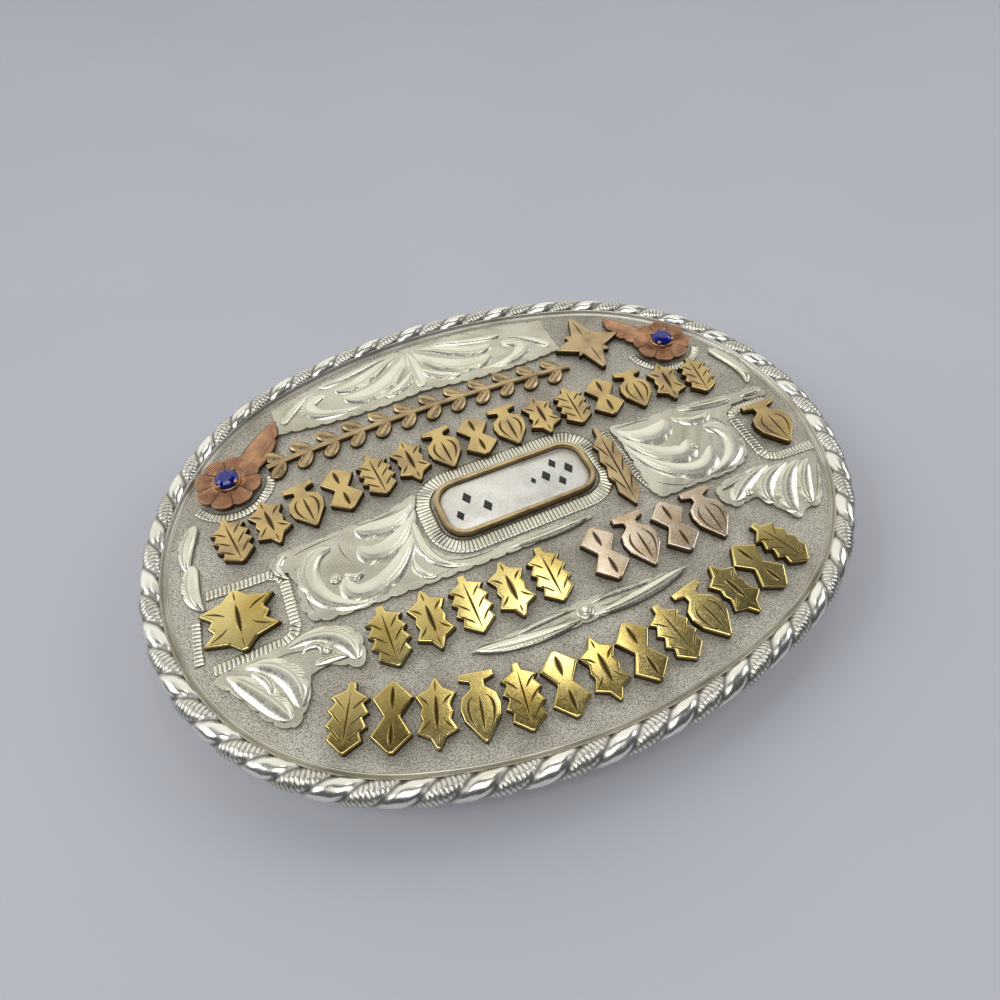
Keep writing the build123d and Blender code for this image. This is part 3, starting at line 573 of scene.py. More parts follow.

# Crescent cuts between the leaves, drawn as thin strips on the sheet painted dark as the cuts' shade, in rows
# like the leaves'
overlay_cuts = {
    "upper_left_leaves": (
        (-42.6, 13.4, -41.6, 15.0, -40.4, 16.6, -38.9, 18.2, 0.3),
        (-31.2, 15.0, -30.2, 15.0, -29.2, 14.8, -28.2, 14.0, 0.25),
    ),
    "upper_right_leaves": (
        (35.6, 20.4, 36.6, 19.8, 37.6, 18.6, 38.2, 17.2, 0.5),
        (31.8, 12.6, 33.2, 12.2, 34.6, 12.1, 36.2, 12.2, 0.45),
        (26.2, 12.4, 26.9, 11.6, 28.0, 11.2, 29.4, 11.0, 0.4),
    ),
    "left_scroll": (
        (-34.9, 3.0, -35.1, 1.6, -34.6, 0.2, -33.2, -0.4, 0.35),
        (-25.0, -3.7, -23.0, -3.9, -21.0, -4.0, -19.4, -4.0, 0.3),
        (-24.2, 9.4, -22.6, 9.2, -21.0, 8.4, -19.8, 7.0, 0.35),
        (-30.6, 9.0, -32.4, 8.6, -34.0, 7.2, -34.8, 5.2, 0.3),
    ),
    "right_scroll": (
        (15.4, -2.9, 17.2, -2.4, 19.2, -2.2, 21.4, -2.7, 0.35),
        (24.0, -2.0, 26.0, -2.0, 28.4, -1.8, 30.2, -1.2, 0.3),
        (29.4, 8.2, 30.2, 6.4, 30.2, 4.4, 29.6, 2.4, 0.35),
        (13.6, 9.2, 15.2, 8.6, 16.2, 7.4, 16.6, 6.2, 0.35),
        (5.4, 8.4, 7.8, 8.6, 10.2, 8.4, 12.2, 7.2, 0.35),
        (23.4, 2.6, 24.0, 1.6, 24.4, 0.4, 24.2, -0.8, 0.3),
    ),
    "slim_leaf_bar": (
        (-3.4, 21.3, -4.6, 21.7, -6.2, 21.6, -7.6, 21.2, 0.3),
        (0.6, 21.3, 1.8, 21.7, 3.4, 21.6, 4.8, 21.2, 0.3),
    ),
}

for overlay_name, leaf_rows in overlay_leaves.items():
    outline = notched(smooth_loop(overlay_outlines[overlay_name], 0.15))
    make_piece(f"stippled_{overlay_name}_sheet", [sheet_patch(outline, sheet_thickness, relief_z)],
               stippled_silver, [overlay_name])
    parts = [curved_leaf_patch(row, overlay_thickness, relief_z, widen=leaf_widen) for row in leaf_rows]
    for row in overlay_cuts[overlay_name]:
        points, painted_shade = cut_grid(row, relief_z + sheet_thickness + 0.01)
        parts.append(patch(points, painted_shade=painted_shade))
    parts += [bulb_patch(row, overlay_thickness + 0.05, relief_z) for row in overlay_bulbs[overlay_name]]
    make_piece(f"engraved_{overlay_name}", parts, bright_cut_silver)

# Three slim leaves alone on the matted face, beside the ends of the long row
side_leaves = (
    (42.4, 2.2, 43.8, 0.4, 44.0, -2.6, 42.8, -5.0, 2.4),
    (43.4, -4.0, 44.0, -6.4, 43.4, -9.2, 41.6, -11.4, 2.2),
    (-43.4, -4.4, -45.2, -7.0, -44.4, -10.8, -42.0, -13.4, 2.6),
)
side_leaf_thickness = 0.5
make_piece("engraved_side_leaves",
           [curved_leaf_patch(row, side_leaf_thickness, relief_z) for row in side_leaves], bright_cut_silver)


# Bottom panel
# The largest overlay, a silver sheet that follows the border along the bottom edge, engraved with two mirrored
# scrolls that rise from a middle leaf.

panel_inset = 3.0
panel_left = -19.6
panel_right = 27.6
panel_top = -23.4
panel_crest = -22.5
panel_middle = (panel_left + panel_right) / 2
panel_leaf_widen = 1.5

# Rows as above, with x counted from the panel's middle; each is repeated as its mirror image
panel_leaves = (
    (0.7, -32.8, 2.4, -28.5, 7.6, -24.0, 12.4, -26.8, 2.5),
    (1.4, -33.1, 5.6, -31.6, 9.6, -27.6, 13.4, -29.0, 2.0),
    (9.4, -24.4, 18.8, -22.8, 20.6, -28.4, 15.0, -28.6, 2.0),
    (2.8, -33.0, 7.0, -32.6, 11.0, -31.2, 15.6, -30.5, 1.3),
    (16.4, -29.9, 19.0, -28.8, 21.4, -27.0, 22.4, -24.9, 1.5),
    (0.4, -29.0, 1.2, -26.6, 3.2, -24.9, 6.4, -24.5, 1.4),
)
panel_middle_leaf = (panel_middle, -33.4, panel_middle, -30.5, panel_middle, -27.0, panel_middle, -24.2, 1.8)


def panel_loop():
    """The panel's outline: two shallow crests on top, straight sides, and the oval's line along the bottom."""
    across = np.linspace(panel_left, panel_right, 120)
    joint_x = (end_radius - panel_inset) * np.cos(joint_angle) + end_centre_x
    lower = side_centre_y - np.sqrt((side_radius - panel_inset) ** 2 - across**2)
    beyond = np.clip(np.abs(across) - end_centre_x, 0, None)
    lower = np.where(np.abs(across) > joint_x, -np.sqrt((end_radius - panel_inset) ** 2 - beyond**2), lower)
    half = (panel_right - panel_left) / 2
    place = np.mod(across - panel_left, half) / half
    upper = panel_top + (panel_crest - panel_top) * 4 * place * (1 - place)
    return even_loop(np.vstack([np.stack([across, lower], -1), np.stack([across, upper], -1)[::-1]]), 0.15)


make_piece("stippled_bottom_sheet", [sheet_patch(notched(panel_loop()), sheet_thickness, relief_z)],
           stippled_silver, ["bottom_panel"])
panel_parts = [curved_leaf_patch(panel_middle_leaf, overlay_thickness, relief_z, widen=leaf_widen)]
for leaf_row in panel_leaves:
    for flip in (1, -1):
        placed = [panel_middle + flip * value if place % 2 == 0 else value
                  for place, value in enumerate(leaf_row[:8])]
        panel_parts.append(curved_leaf_patch((*placed, leaf_row[8]), overlay_thickness, relief_z,
                                             widen=panel_leaf_widen))
make_piece("engraved_bottom_leaves", panel_parts, bright_cut_silver)


# Wriggle-cut borders
# Bright borders walked round the open places with a flat graver that is rocked from side to side, which leaves
# a ladder of short cuts, one every half millimetre.

cut_pitch = 0.55
border_raise = 0.26


def with_ends(band):
    """The band with its first and last rows laid down on the face once more, which closes its ends."""
    ends = [row * [1, 1, 0] + [0, 0, relief_z] for row in (band[:1], band[-1:])]
    return np.concatenate([ends[0], band, ends[1]])


def wriggle_patch(path, width, closed=False):
    """A low band along a path whose surface rises and falls with each cut, as the size of a sine.

    path is rows of x and y. It is divided evenly by length, and the band is square to it at each step.
    """
    path = np.asarray(path, float)
    loop = np.vstack([path, path[:1]]) if closed else path
    lengths = np.r_[0, np.cumsum(np.hypot(*np.diff(loop, axis=0).T))]
    cuts = max(int(round(lengths[-1] / cut_pitch)), 1)
    steps = np.linspace(0, lengths[-1], cuts * 6 + 1)
    if closed:
        steps = steps[:-1]
    place = np.stack([np.interp(steps, lengths, loop[:, axis]) for axis in (0, 1)], -1)
    around = (np.roll(place, -3, 0) - np.roll(place, 3, 0)) if closed else np.gradient(place, axis=0)
    around /= np.linalg.norm(around, axis=1, keepdims=True)
    left = np.stack([-around[:, 1], around[:, 0]], -1)
    across = np.array([-1.0, -0.96, -0.7, -0.3, 0.3, 0.7, 0.96, 1.0])
    wave = np.abs(np.sin(np.pi * cuts * steps / lengths[-1]))[:, None]
    hump = np.array([0.0, 0.5, 0.85, 1.0, 1.0, 0.85, 0.5, 0.0])[None, :]
    height = border_raise * (0.3 * (hump > 0) + 0.7 * wave * hump)
    xy = place[:, None] + left[:, None] * (across * width / 2)[None, :, None]
    top = with_height(xy, relief_z + height)
    if not closed:
        top = with_ends(top)
        wave = np.pad(wave, ((1, 1), (0, 0)))
    # Painted shade, dark in the troughs between the cuts
    return patch(top, wrap_rows=closed, painted_shade=np.broadcast_to(0.9 * (1 - wave) ** 2, top.shape[:2]))


def rounded_rectangle(centre, length, width, radius, turn_degrees=0.0, corner_steps=10):
    """Corner arcs of a rectangle, one after the other, turned about its centre."""
    angle = np.linspace(0, np.pi / 2, corner_steps)
    corners = []
    for number, (sign_x, sign_y) in enumerate(((1, 1), (-1, 1), (-1, -1), (1, -1))):
        turn = angle + number * np.pi / 2
        corners.append(np.stack([sign_x * (length / 2 - radius) + radius * np.cos(turn),
                                 sign_y * (width / 2 - radius) + radius * np.sin(turn)], -1))
    points = np.vstack(corners)
    turned = np.radians(turn_degrees)
    matrix = np.array([[np.cos(turned), np.sin(turned)], [-np.sin(turned), np.cos(turned)]])
    return points @ matrix + np.asarray(centre)


plaque_centre = (-1.25, 0.15)
plaque_turn = 1.5
flower_centres = {"left": (-35.6, -17.9), "right": (36.0, -16.8)}
plaque_ring = (26.2, 12.2, 4.5)
plaque_ring_width = 2.2

# Open borders: the points that each runs through, and its width
open_borders = (
    (((-44.6, 10.1), (-38.6, 9.9), (-37.4, 9.3), (-36.9, 8.2), (-36.9, 1.2), (-37.4, 0.2), (-38.6, -0.3),
      (-43.8, -0.5)), 1.5),
    (((42.6, 10.7), (34.0, 10.3), (32.8, 9.8), (32.2, 8.6), (32.2, 2.0), (32.7, 0.8), (34.0, 0.2),
      (42.0, 0.1)), 1.5),
    (((44.0, 9.4), (43.9, 6.5), (43.6, 3.4)), 1.2),
    (((-19.6, 8.6), (-18.2, 4.0), (-17.6, -1.0), (-17.7, -4.4)), 1.7),
)

# Part rings round the flowers: first and last degrees
flower_ring_degrees = {"left": (5, 150), "right": (30, 175)}
flower_ring_radius = 5.7
flower_ring_width = 1.4

borders = [wriggle_patch(rounded_rectangle(plaque_centre, *plaque_ring, plaque_turn), plaque_ring_width,
                         closed=True)]
borders += [wriggle_patch(path, width) for path, width in open_borders]
for side, ends in flower_ring_degrees.items():
    turn = np.radians(np.linspace(*ends, 60))[:, None]
    ring = np.asarray(flower_centres[side]) + flower_ring_radius * np.hstack([np.cos(turn), np.sin(turn)])
    borders.append(wriggle_patch(ring, flower_ring_width))
make_piece("wriggle_cut_borders", borders, bright_cut_silver, [], 70.0)


# Row ornaments
# Three rows of small raised ornaments sawn from bronze sheet: stars, lozenge pairs, feathers and buds. Their
# tops are flat and brushed, and their edges are worn round.

ornament_thickness = 1.0
shoulder = 0.2

# Rows of height and half width, as parts of the ornament's own size
lozenge_pair = ((-0.5, 0.06), (-0.26, 0.5), (0.0, 0.2), (0.26, 0.5), (0.5, 0.06))
six_point_star = ((-0.5, 0.04), (-0.35, 0.18), (-0.26, 0.5), (-0.1, 0.34), (0.0, 0.4), (0.1, 0.34), (0.26, 0.5),
                  (0.35, 0.18), (0.5, 0.04))
four_point_star = ((-0.5, 0.03), (-0.15, 0.17), (0.0, 0.5), (0.15, 0.17), (0.5, 0.03))
bud = ((-0.5, 0.44), (-0.4, 0.44), (-0.35, 0.18), (-0.27, 0.18), (-0.15, 0.44), (0.0, 0.5), (0.18, 0.44),
       (0.34, 0.24), (0.5, 0.04))
feather = ((-0.5, 0.1), (-0.38, 0.12), (-0.27, 0.48), (-0.2, 0.34), (-0.07, 0.5), (0.0, 0.36), (0.13, 0.5),
           (0.2, 0.34), (0.32, 0.42), (0.5, 0.04))

# Slits filed in each shape's top, drawn as strips painted dark as their shade, as parts of its size: start, two
# guide points, end, and width in millimetres
ornament_cuts = {
    lozenge_pair: (
        (0.0, -0.42, 0.0, -0.34, 0.0, -0.2, 0.0, -0.1, 0.9),
        (0.0, 0.1, 0.0, 0.2, 0.0, 0.34, 0.0, 0.42, 0.9),
    ),
    six_point_star: (
        (0.0, -0.24, 0.0, -0.12, 0.0, 0.12, 0.0, 0.24, 0.95),
        (0.16, 0.1, 0.22, 0.16, 0.3, 0.2, 0.4, 0.24, 0.4),
        (0.16, -0.1, 0.22, -0.16, 0.3, -0.2, 0.4, -0.24, 0.4),
        (0.0, 0.3, 0.0, 0.34, 0.0, 0.4, 0.0, 0.46, 0.3),
        (0.0, -0.3, 0.0, -0.34, 0.0, -0.4, 0.0, -0.46, 0.3),
    ),
    bud: (
        (0.0, -0.14, 0.0, 0.0, 0.0, 0.22, 0.0, 0.42, 0.55),
        (0.16, -0.14, 0.36, -0.06, 0.36, 0.14, 0.14, 0.34, 0.5),
    ),
    feather: (
        (0.0, -0.36, 0.0, -0.1, 0.0, 0.2, 0.0, 0.46, 0.4),
        (0.1, -0.1, 0.16, -0.14, 0.26, -0.22, 0.38, -0.27, 0.35),
        (0.1, 0.12, 0.16, 0.08, 0.28, 0.0, 0.4, -0.06, 0.35),
        (0.1, 0.33, 0.16, 0.29, 0.28, 0.21, 0.4, 0.14, 0.35),
    ),
    four_point_star: (
        (0.0, 0.12, 0.0, 0.2, 0.0, 0.3, 0.0, 0.42, 0.3),
        (0.0, -0.12, 0.0, -0.2, 0.0, -0.3, 0.0, -0.42, 0.3),
    ),
}


def swollen(points, width, height, thickness, lean):
    """The piece with its top swelled as squares of x and y, and leaning with x and y, less so lower down."""
    x, y, level = np.moveaxis(points, -1, 0)
    swell = 0.07 * (1 - (2 * y / height) ** 2) + 0.03 * (1 - (2 * x / width) ** 2) + lean[0] * x + lean[1] * y
    return np.stack([x, y, level + swell * (level / thickness) ** 2], -1)


def slit_grids(rows, width, height, thickness=ornament_thickness, lean=(0.0, 0.0)):
    """The slits of an ornament and their mirror images, as crescents painted dark as their shade in its swelled
    top.
    """
    cuts = []
    for row in ornament_cuts[rows]:
        for flip in ((1, -1) if row[0] or row[2] else (1,)):
            scaled = [value * (flip * width if place % 2 == 0 else height)
                      for place, value in enumerate(row[:8])]
            points, painted_shade = cut_grid((*scaled, row[8]), thickness + 0.012)
            cuts.append((swollen(points, width, height, thickness, lean), painted_shade))
    return cuts


def ornament_grid(rows, width, height, thickness=ornament_thickness, lean=(0.0, 0.0), spacing=0.2):
    """A raised ornament about the origin: its edge profile is carried round its outline, then in to its spine.

    The outline is the rows on the right and their mirror image on the left, divided evenly. The edge rises
    straight and turns over a round shoulder. The top swells as squares of x and y, by a tenth of a millimetre,
    and leans a little with x and y, as each was soldered down by hand.
    """
    level = np.array([row[0] for row in rows]) * height
    reach = np.array([row[1] for row in rows]) * width
    outline = np.vstack([np.stack([reach, level], -1), np.stack([-reach, level], -1)[::-1]])
    loop = np.vstack([outline, outline[:1]])
    edge_steps = np.maximum(np.ceil(np.hypot(*np.diff(loop, axis=0).T) / spacing), 1).astype(int)
    place = np.concatenate([start + (end - start) * (np.arange(count) / count)[:, None]
                            for start, end, count in zip(loop[:-1], loop[1:], edge_steps)])
    before = place - np.roll(place, 1, 0)
    after = np.roll(place, -1, 0) - place
    normal = sum(np.stack([side[:, 1], -side[:, 0]], -1) / np.hypot(*side.T)[:, None]
                 for side in (before, after))
    size = np.hypot(*normal.T)[:, None]
    normal = normal / np.maximum(size, 0.9) ** 2 * 2
    turn = np.radians([0, 22, 45, 68, 90])
    insets = np.r_[0.0, 0.0, shoulder * (1 - np.cos(turn))]
    heights = np.r_[0.0, 0.5 * thickness, thickness - shoulder + shoulder * np.sin(turn)]
    rim = with_height(place[:, None] - normal[:, None] * insets[None, :, None], heights)
    inner = rim[:, -1, :2]
    spine = np.stack([0 * inner[:, 0], np.clip(inner[:, 1], -0.45 * height, 0.45 * height)], -1)
    share = np.array([0.12, 0.4, 0.7, 1.0])
    top = with_height(inner[:, None] + (spine - inner)[:, None] * share[None, :, None], thickness)
    under = with_height(spine[:, None], 0.0)
    points = np.concatenate([under, rim, top], axis=1)
    # Painted shade: dark under the piece and on its wall, fading over the shoulder, none on the top
    painted_shade = np.array([1.0, 1.0, 0.95, 0.85, 0.35, 0.0, 0.0, 0.0, 0.0, 0.0, 0.0, 0.0])
    return swollen(points, width, height, thickness, lean), painted_shade[None, :]


def put_down(points, x, y, turn_degrees=0.0, bottom=relief_z):
    """Turns a piece made about the origin and moves it to its place on the face."""
    turn = np.radians(turn_degrees)
    matrix = np.array([[np.cos(turn), np.sin(turn), 0], [-np.sin(turn), np.cos(turn), 0], [0, 0, 1]])
    return points @ matrix + [x, y, bottom]


# Gilded bronze, lightly brushed to a soft shine, with dark brown shade painted on the sawn walls and in the
# slits.
gold_bronze = worn_metal_with_painted_shade("brushed_gilded_bronze", "#f6e196", "#d2b768", "#3a2912", 0.13, 0.24, 0.35, 0.004,
                         patch_mm=7.0)
# Bronze whose gilding has worn through to a pinker metal, with dark shade painted on its walls and in its slits.
rose_bronze = worn_metal_with_painted_shade("worn_rose_bronze", "#ecdac4", "#cfb692", "#44331f", 0.2, 0.34, 0.35, 0.005,
                         patch_mm=3.0)
# Old gilding, dull and brownish in patches, with dark shade painted on its walls and in its slits.
aged_bronze = worn_metal_with_painted_shade("aged_gilded_bronze", "#dac084", "#b59c76", "#44341f", 0.24, 0.4, 0.35, 0.006,
                         patch_mm=4.0)


def ornament_piece(name, node, rows, size, place, material):
    """One ornament at its place: x, y and turn. Sines of the place give its lean."""
    lean = 0.022 * np.sin(np.array([1.7, 2.9]) * (place[0] + 2 * place[1]))
    points, painted_shade = ornament_grid(rows, *size, lean=lean)
    grids = [patch(put_down(points, *place), True, False, painted_shade)]
    grids += [patch(put_down(points, *place), painted_shade=painted_shade)
              for points, painted_shade in slit_grids(rows, *size, lean=lean)]
    return make_piece(name, grids, material, [node], 50.0)


arch_radius = 71.2
arch_centre_y = -42.3
arch_step_degrees = 4.05
arch_count = 13
arch_size = (4.8, 8.2)
arch_shapes = (six_point_star, lozenge_pair, feather, bud)
for number in range(arch_count):
    from_middle = number - arch_count // 2
    turn = from_middle * arch_step_degrees
    arch_place = (arch_radius * np.sin(np.radians(turn)),
                  arch_centre_y + arch_radius * np.cos(np.radians(turn)), -turn)
    ornament_piece(f"arch_relief_{number + 1:02d}", f"arch_ornament_{number + 1:02d}",
                   arch_shapes[abs(from_middle) % 4], arch_size, arch_place, gold_bronze)

middle_row_y = 14.9
middle_size = (5.0, 8.4)
middle_groups = (
    ("rose", (-23.4, -18.1, -12.8, -7.5), (bud, lozenge_pair), rose_bronze),
    ("gold", (0.4, 5.8, 11.2, 16.6, 22.0), (feather, six_point_star), gold_bronze),
)
for group, centres, shapes, material in middle_groups:
    for number, x in enumerate(centres):
        ornament_piece(f"{group}_relief_{number + 1}", f"{group}_ornament_{number + 1}", shapes[number % 2],
                       middle_size, (x, middle_row_y, 0.0), material)

long_row_radius = 225.8
long_row_centre_y = 215.1
long_row_step = 5.3
long_row_tilt = 1.6
long_row_count = 15
long_row_size = (5.0, 7.8)
long_row_shapes = (lozenge_pair, bud, six_point_star, feather)
tilt = np.radians(long_row_tilt)
for number in range(long_row_count):
    from_middle = number - long_row_count // 2
    turn = from_middle * long_row_step / long_row_radius
    x = long_row_radius * np.sin(turn)
    y = long_row_centre_y - long_row_radius * np.cos(turn)
    long_place = (x * np.cos(tilt) - y * np.sin(tilt), x * np.sin(tilt) + y * np.cos(tilt),
                  np.degrees(turn) + long_row_tilt)
    ornament_piece(f"long_row_relief_{number + 1:02d}", f"long_row_ornament_{number + 1:02d}",
                   long_row_shapes[abs(from_middle) % 4], long_row_size, long_place, aged_bronze)


# Single ornaments
# A bud and a star at the two ends, a feather beside the centre frame and a compass star at the lower left, made
# like the ornaments of the rows.

# Bronze without gilding, gone brown and dull, lighter where it is rubbed, with dark shade painted on its walls,
# in its slits and down the sides of the stem and the frame wire.
dull_bronze = worn_metal_with_painted_shade("dull_brown_bronze", "#cbb48a", "#a6906e", "#40321f", 0.26, 0.42, 0.35, 0.008,
                         patch_mm=3.0)
ornament_piece("left_end_relief", "left_end_ornament", bud, (6.0, 8.6), (-41.4, 4.5, 0.0), aged_bronze)
ornament_piece("right_end_relief", "right_end_ornament", six_point_star, (9.4, 8.6), (38.4, 5.5, 0.0),
               gold_bronze)
ornament_piece("feather_relief", "feather_ornament", feather, (3.8, 14.6), (-15.9, 2.3, -4.0), dull_bronze)

star_place = (-24.2, -22.6)
long_ray_size = (11.4, 12.6)
short_ray_size = (7.6, 7.6)
short_ray_thickness = 0.86
star_grids = []
for size, thickness, turn in ((long_ray_size, ornament_thickness, 0.0),
                              (short_ray_size, short_ray_thickness, 45.0)):
    points, painted_shade = ornament_grid(four_point_star, *size, thickness=thickness)
    star_grids.append(patch(put_down(points, *star_place, turn), True, False, painted_shade))
for points, painted_shade in slit_grids(four_point_star, *long_ray_size):
    star_grids.append(patch(put_down(points, *star_place), painted_shade=painted_shade))
make_piece("compass_star_relief", star_grids, dull_bronze, ["compass_star"], 50.0)


# Leaf strip
# A long stem with pairs of small leaves, sawn in one piece from thin bronze sheet that has gone dull brown.

strip_start = np.array([-19.0, -18.9])
strip_middle = np.array([6.0, -19.6])
strip_end = np.array([30.4, -17.6])
strip_thickness = 0.8
strip_stem_width = 1.0
strip_leaf_pairs = 12
strip_leaf_length = 3.7
strip_leaf_width = 2.1
strip_leaf_lean = 42.0


def strip_line(share):
    """The stem's arc through its start, middle and end points, and its direction, by share of its length."""
    ax, ay = strip_start
    bx, by = strip_middle
    cx, cy = strip_end
    scale = 2 * (ax * (by - cy) + bx * (cy - ay) + cx * (ay - by))
    centre_x = ((ax**2 + ay**2) * (by - cy) + (bx**2 + by**2) * (cy - ay) + (cx**2 + cy**2) * (ay - by)) / scale
    centre_y = ((ax**2 + ay**2) * (cx - bx) + (bx**2 + by**2) * (ax - cx) + (cx**2 + cy**2) * (bx - ax)) / scale
    radius = np.hypot(ax - centre_x, ay - centre_y)
    first = np.arctan2(ay - centre_y, ax - centre_x)
    last = np.arctan2(cy - centre_y, cx - centre_x)
    angle = first + (last - first) * np.asarray(share, float)
    place = np.stack([centre_x + radius * np.cos(angle), centre_y + radius * np.sin(angle)], -1)
    return place, np.stack([-np.sin(angle), np.cos(angle)], -1) * np.sign(last - first)


def stem_patch(width, thickness):
    """A band along the stem's arc with a half-round top: the height is a root across it."""
    place, run = strip_line(np.linspace(0, 1, 120))
    left = np.stack([-run[:, 1], run[:, 0]], -1)
    across = np.array([-1.0, -1.0, -0.8, -0.4, 0.0, 0.4, 0.8, 1.0, 1.0])
    height = np.array([0.0, 0.55, 0.84, 0.97, 1.0, 0.97, 0.84, 0.55, 0.0]) * thickness
    xy = place[:, None] + left[:, None] * (across * width / 2)[None, :, None]
    # Painted shade on the stem's sides, none along its top
    painted_shade = np.array([1.0, 0.8, 0.2, 0.0, 0.0, 0.0, 0.2, 0.8, 1.0])
    return patch(with_ends(with_height(xy, relief_z + height)), painted_shade=painted_shade[None, :])


def straight_leaf(root, tip, width, thickness):
    """A leaf between two points, as a curve whose guide points lie on the straight line between them."""
    root = np.asarray(root, float)
    tip = np.asarray(tip, float)
    row = (*root, *(root + (tip - root) / 3), *(root + (tip - root) * 2 / 3), *tip, width)
    return curved_leaf_patch(row, thickness, relief_z, steps=20, ribs=6)


strip_parts = [stem_patch(strip_stem_width, strip_thickness)]
for number in range(strip_leaf_pairs):
    root, run = strip_line((number + 0.3) / strip_leaf_pairs)
    for side in (1, -1):
        lean = np.radians(strip_leaf_lean) * side
        tip = root + strip_leaf_length * np.array([run[0] * np.cos(lean) - run[1] * np.sin(lean),
                                                   run[0] * np.sin(lean) + run[1] * np.cos(lean)])
        strip_parts.append(straight_leaf(root, tip, strip_leaf_width, strip_thickness))
make_piece("leaf_strip_relief", strip_parts, dull_bronze, ["leaf_strip"])


# Centre frame and its ground
# A bronze wire bent to a long rounded frame round a plate of bright silver, on which a few small lozenges are
# stamped and filled with black enamel.

frame_length = 23.4
frame_width = 9.6
frame_corner = 3.4
frame_wire = 0.9
frame_height = 1.1
ground_thickness = 0.45


def frame_points():
    """The wire's section, flat below and round above, carried round the frame's rounded outline."""
    middle = rounded_rectangle((0, 0), frame_length - frame_wire, frame_width - frame_wire,
                               frame_corner - frame_wire / 2, corner_steps=16)
    angle = np.repeat(np.arange(4), 16) * np.pi / 2 + np.tile(np.linspace(0, np.pi / 2, 16), 4)
    outward = np.stack([np.cos(angle), np.sin(angle)], -1)
    across = np.array([-1.0, -1.0, -0.9, -0.62, 0.0, 0.62, 0.9, 1.0, 1.0])
    height = np.array([0.0, 0.55, 0.78, 0.94, 1.0, 0.94, 0.78, 0.55, 0.0]) * frame_height
    xy = middle[:, None] + outward[:, None] * (across * frame_wire / 2)[None, :, None]
    return with_height(xy, height)


centre_place = (*plaque_centre, plaque_turn)
# Painted shade on the wire's sides, none along its top
frame_shade = np.array([1.0, 0.7, 0.3, 0.0, 0.0, 0.0, 0.3, 0.7, 1.0])[None, :]
make_piece("centre_wire_frame", [patch(put_down(frame_points(), *centre_place), True, True, frame_shade)],
           dull_bronze, ["centre_frame"])

# Rolled silver rubbed to a satin: nearly white, with fine scratches and a few dark specks.
plaque_silver = worn_metal_with_painted_shade("satin_silver_plaque", "#fbfaf3", "#efece2", "#9a958a", 0.42, 0.55, 0.3, 0.008,
                           patch_mm=2.2, speckle=0.2)
ground_gap = 0.05
ground_outline = rounded_rectangle((0, 0), frame_length - 2 * (frame_wire + ground_gap),
                                   frame_width - 2 * (frame_wire + ground_gap),
                                   frame_corner - frame_wire - ground_gap)
ground_share = np.array([1.0, 1.0, 0.99])
ground_level = np.array([0.0, ground_thickness - 0.06, ground_thickness])
ground_points = with_height(ground_outline[:, None] * ground_share[None, :, None], ground_level)
make_piece("bright_centre_ground",
           [patch(put_down(ground_points, *centre_place), True, False, flat_ends=True)], plaque_silver,
           ["centre_ground"])


def mottled(name, first, second, patch_mm, roughness):
    """A smooth surface whose colour wanders between two, as a noise of the given size does."""
    material, tree, shader = new_material(name)
    place = add(tree, "ShaderNodeTexCoord").outputs["Object"]
    noise = add(tree, "ShaderNodeTexNoise", {"Vector": place, "Scale": 1 / (patch_mm * mm)})
    colour = add(tree, "ShaderNodeMix", {"Factor": noise.outputs[0], "A": linear(first), "B": linear(second)},
                 data_type="RGBA")
    tree.links.new(colour.outputs["Result"], shader.inputs["Base Color"])
    shader.inputs["Roughness"].default_value = roughness
    return material, shader


# Black enamel: glossy and nearly black, with browner patches.
black_enamel = mottled("black_enamel", "#100f0c", "#2c2922", 0.4, 0.35)[0]

# Rows of x and y from the plaque's middle, width, height
enamel_marks = ((-8.4, 0.0, 1.5, 2.2), (-6.6, 1.7, 1.3, 1.9), (-6.6, -1.7, 1.3, 1.9), (-4.8, 0.0, 1.5, 2.2),
                (-2.8, 0.0, 0.9, 1.3), (4.8, 1.2, 1.5, 2.2), (7.0, -1.2, 1.5, 2.2), (8.9, 1.2, 1.3, 1.9))
lozenge = ((-0.5, 0.04), (0.0, 0.5), (0.5, 0.04))
enamel_thickness = 0.26
enamel_sink = 0.2
enamel_grids = []
for x, y, width, height in enamel_marks:
    points = ornament_grid(lozenge, width, height, thickness=enamel_thickness)[0]
    points = put_down(put_down(points, x, y, 0.0, 0.0), *centre_place, relief_z + ground_thickness - enamel_sink)
    enamel_grids.append(patch(points, True, False))
make_piece("enamel_lozenges", enamel_grids, black_enamel)


# Flowers
# Two blossoms pressed from copper sheet, each with a leaf and a round setting soldered in. The petals are nearly
# flat and scored with fine lines from the middle, and four grains of metal hold the stone.

petal_count = 8
petal_circle = 3.1
petal_radius = 1.55
flower_lift = 0.42
petal_thickness = 0.75
flower_leaf_tips = {"left": (-29.4, -27.0), "right": (27.6, -26.2)}
setting_height = 0.75
seat_radius = 1.51
setting_rim = flower_lift + petal_thickness + setting_height
flower_foot_radius = 2.6
flower_leaf_width = 4.2
flower_leaf_thickness = 0.55
grain_circle = 1.72
grain_radius = 0.34
grain_sink = 0.12


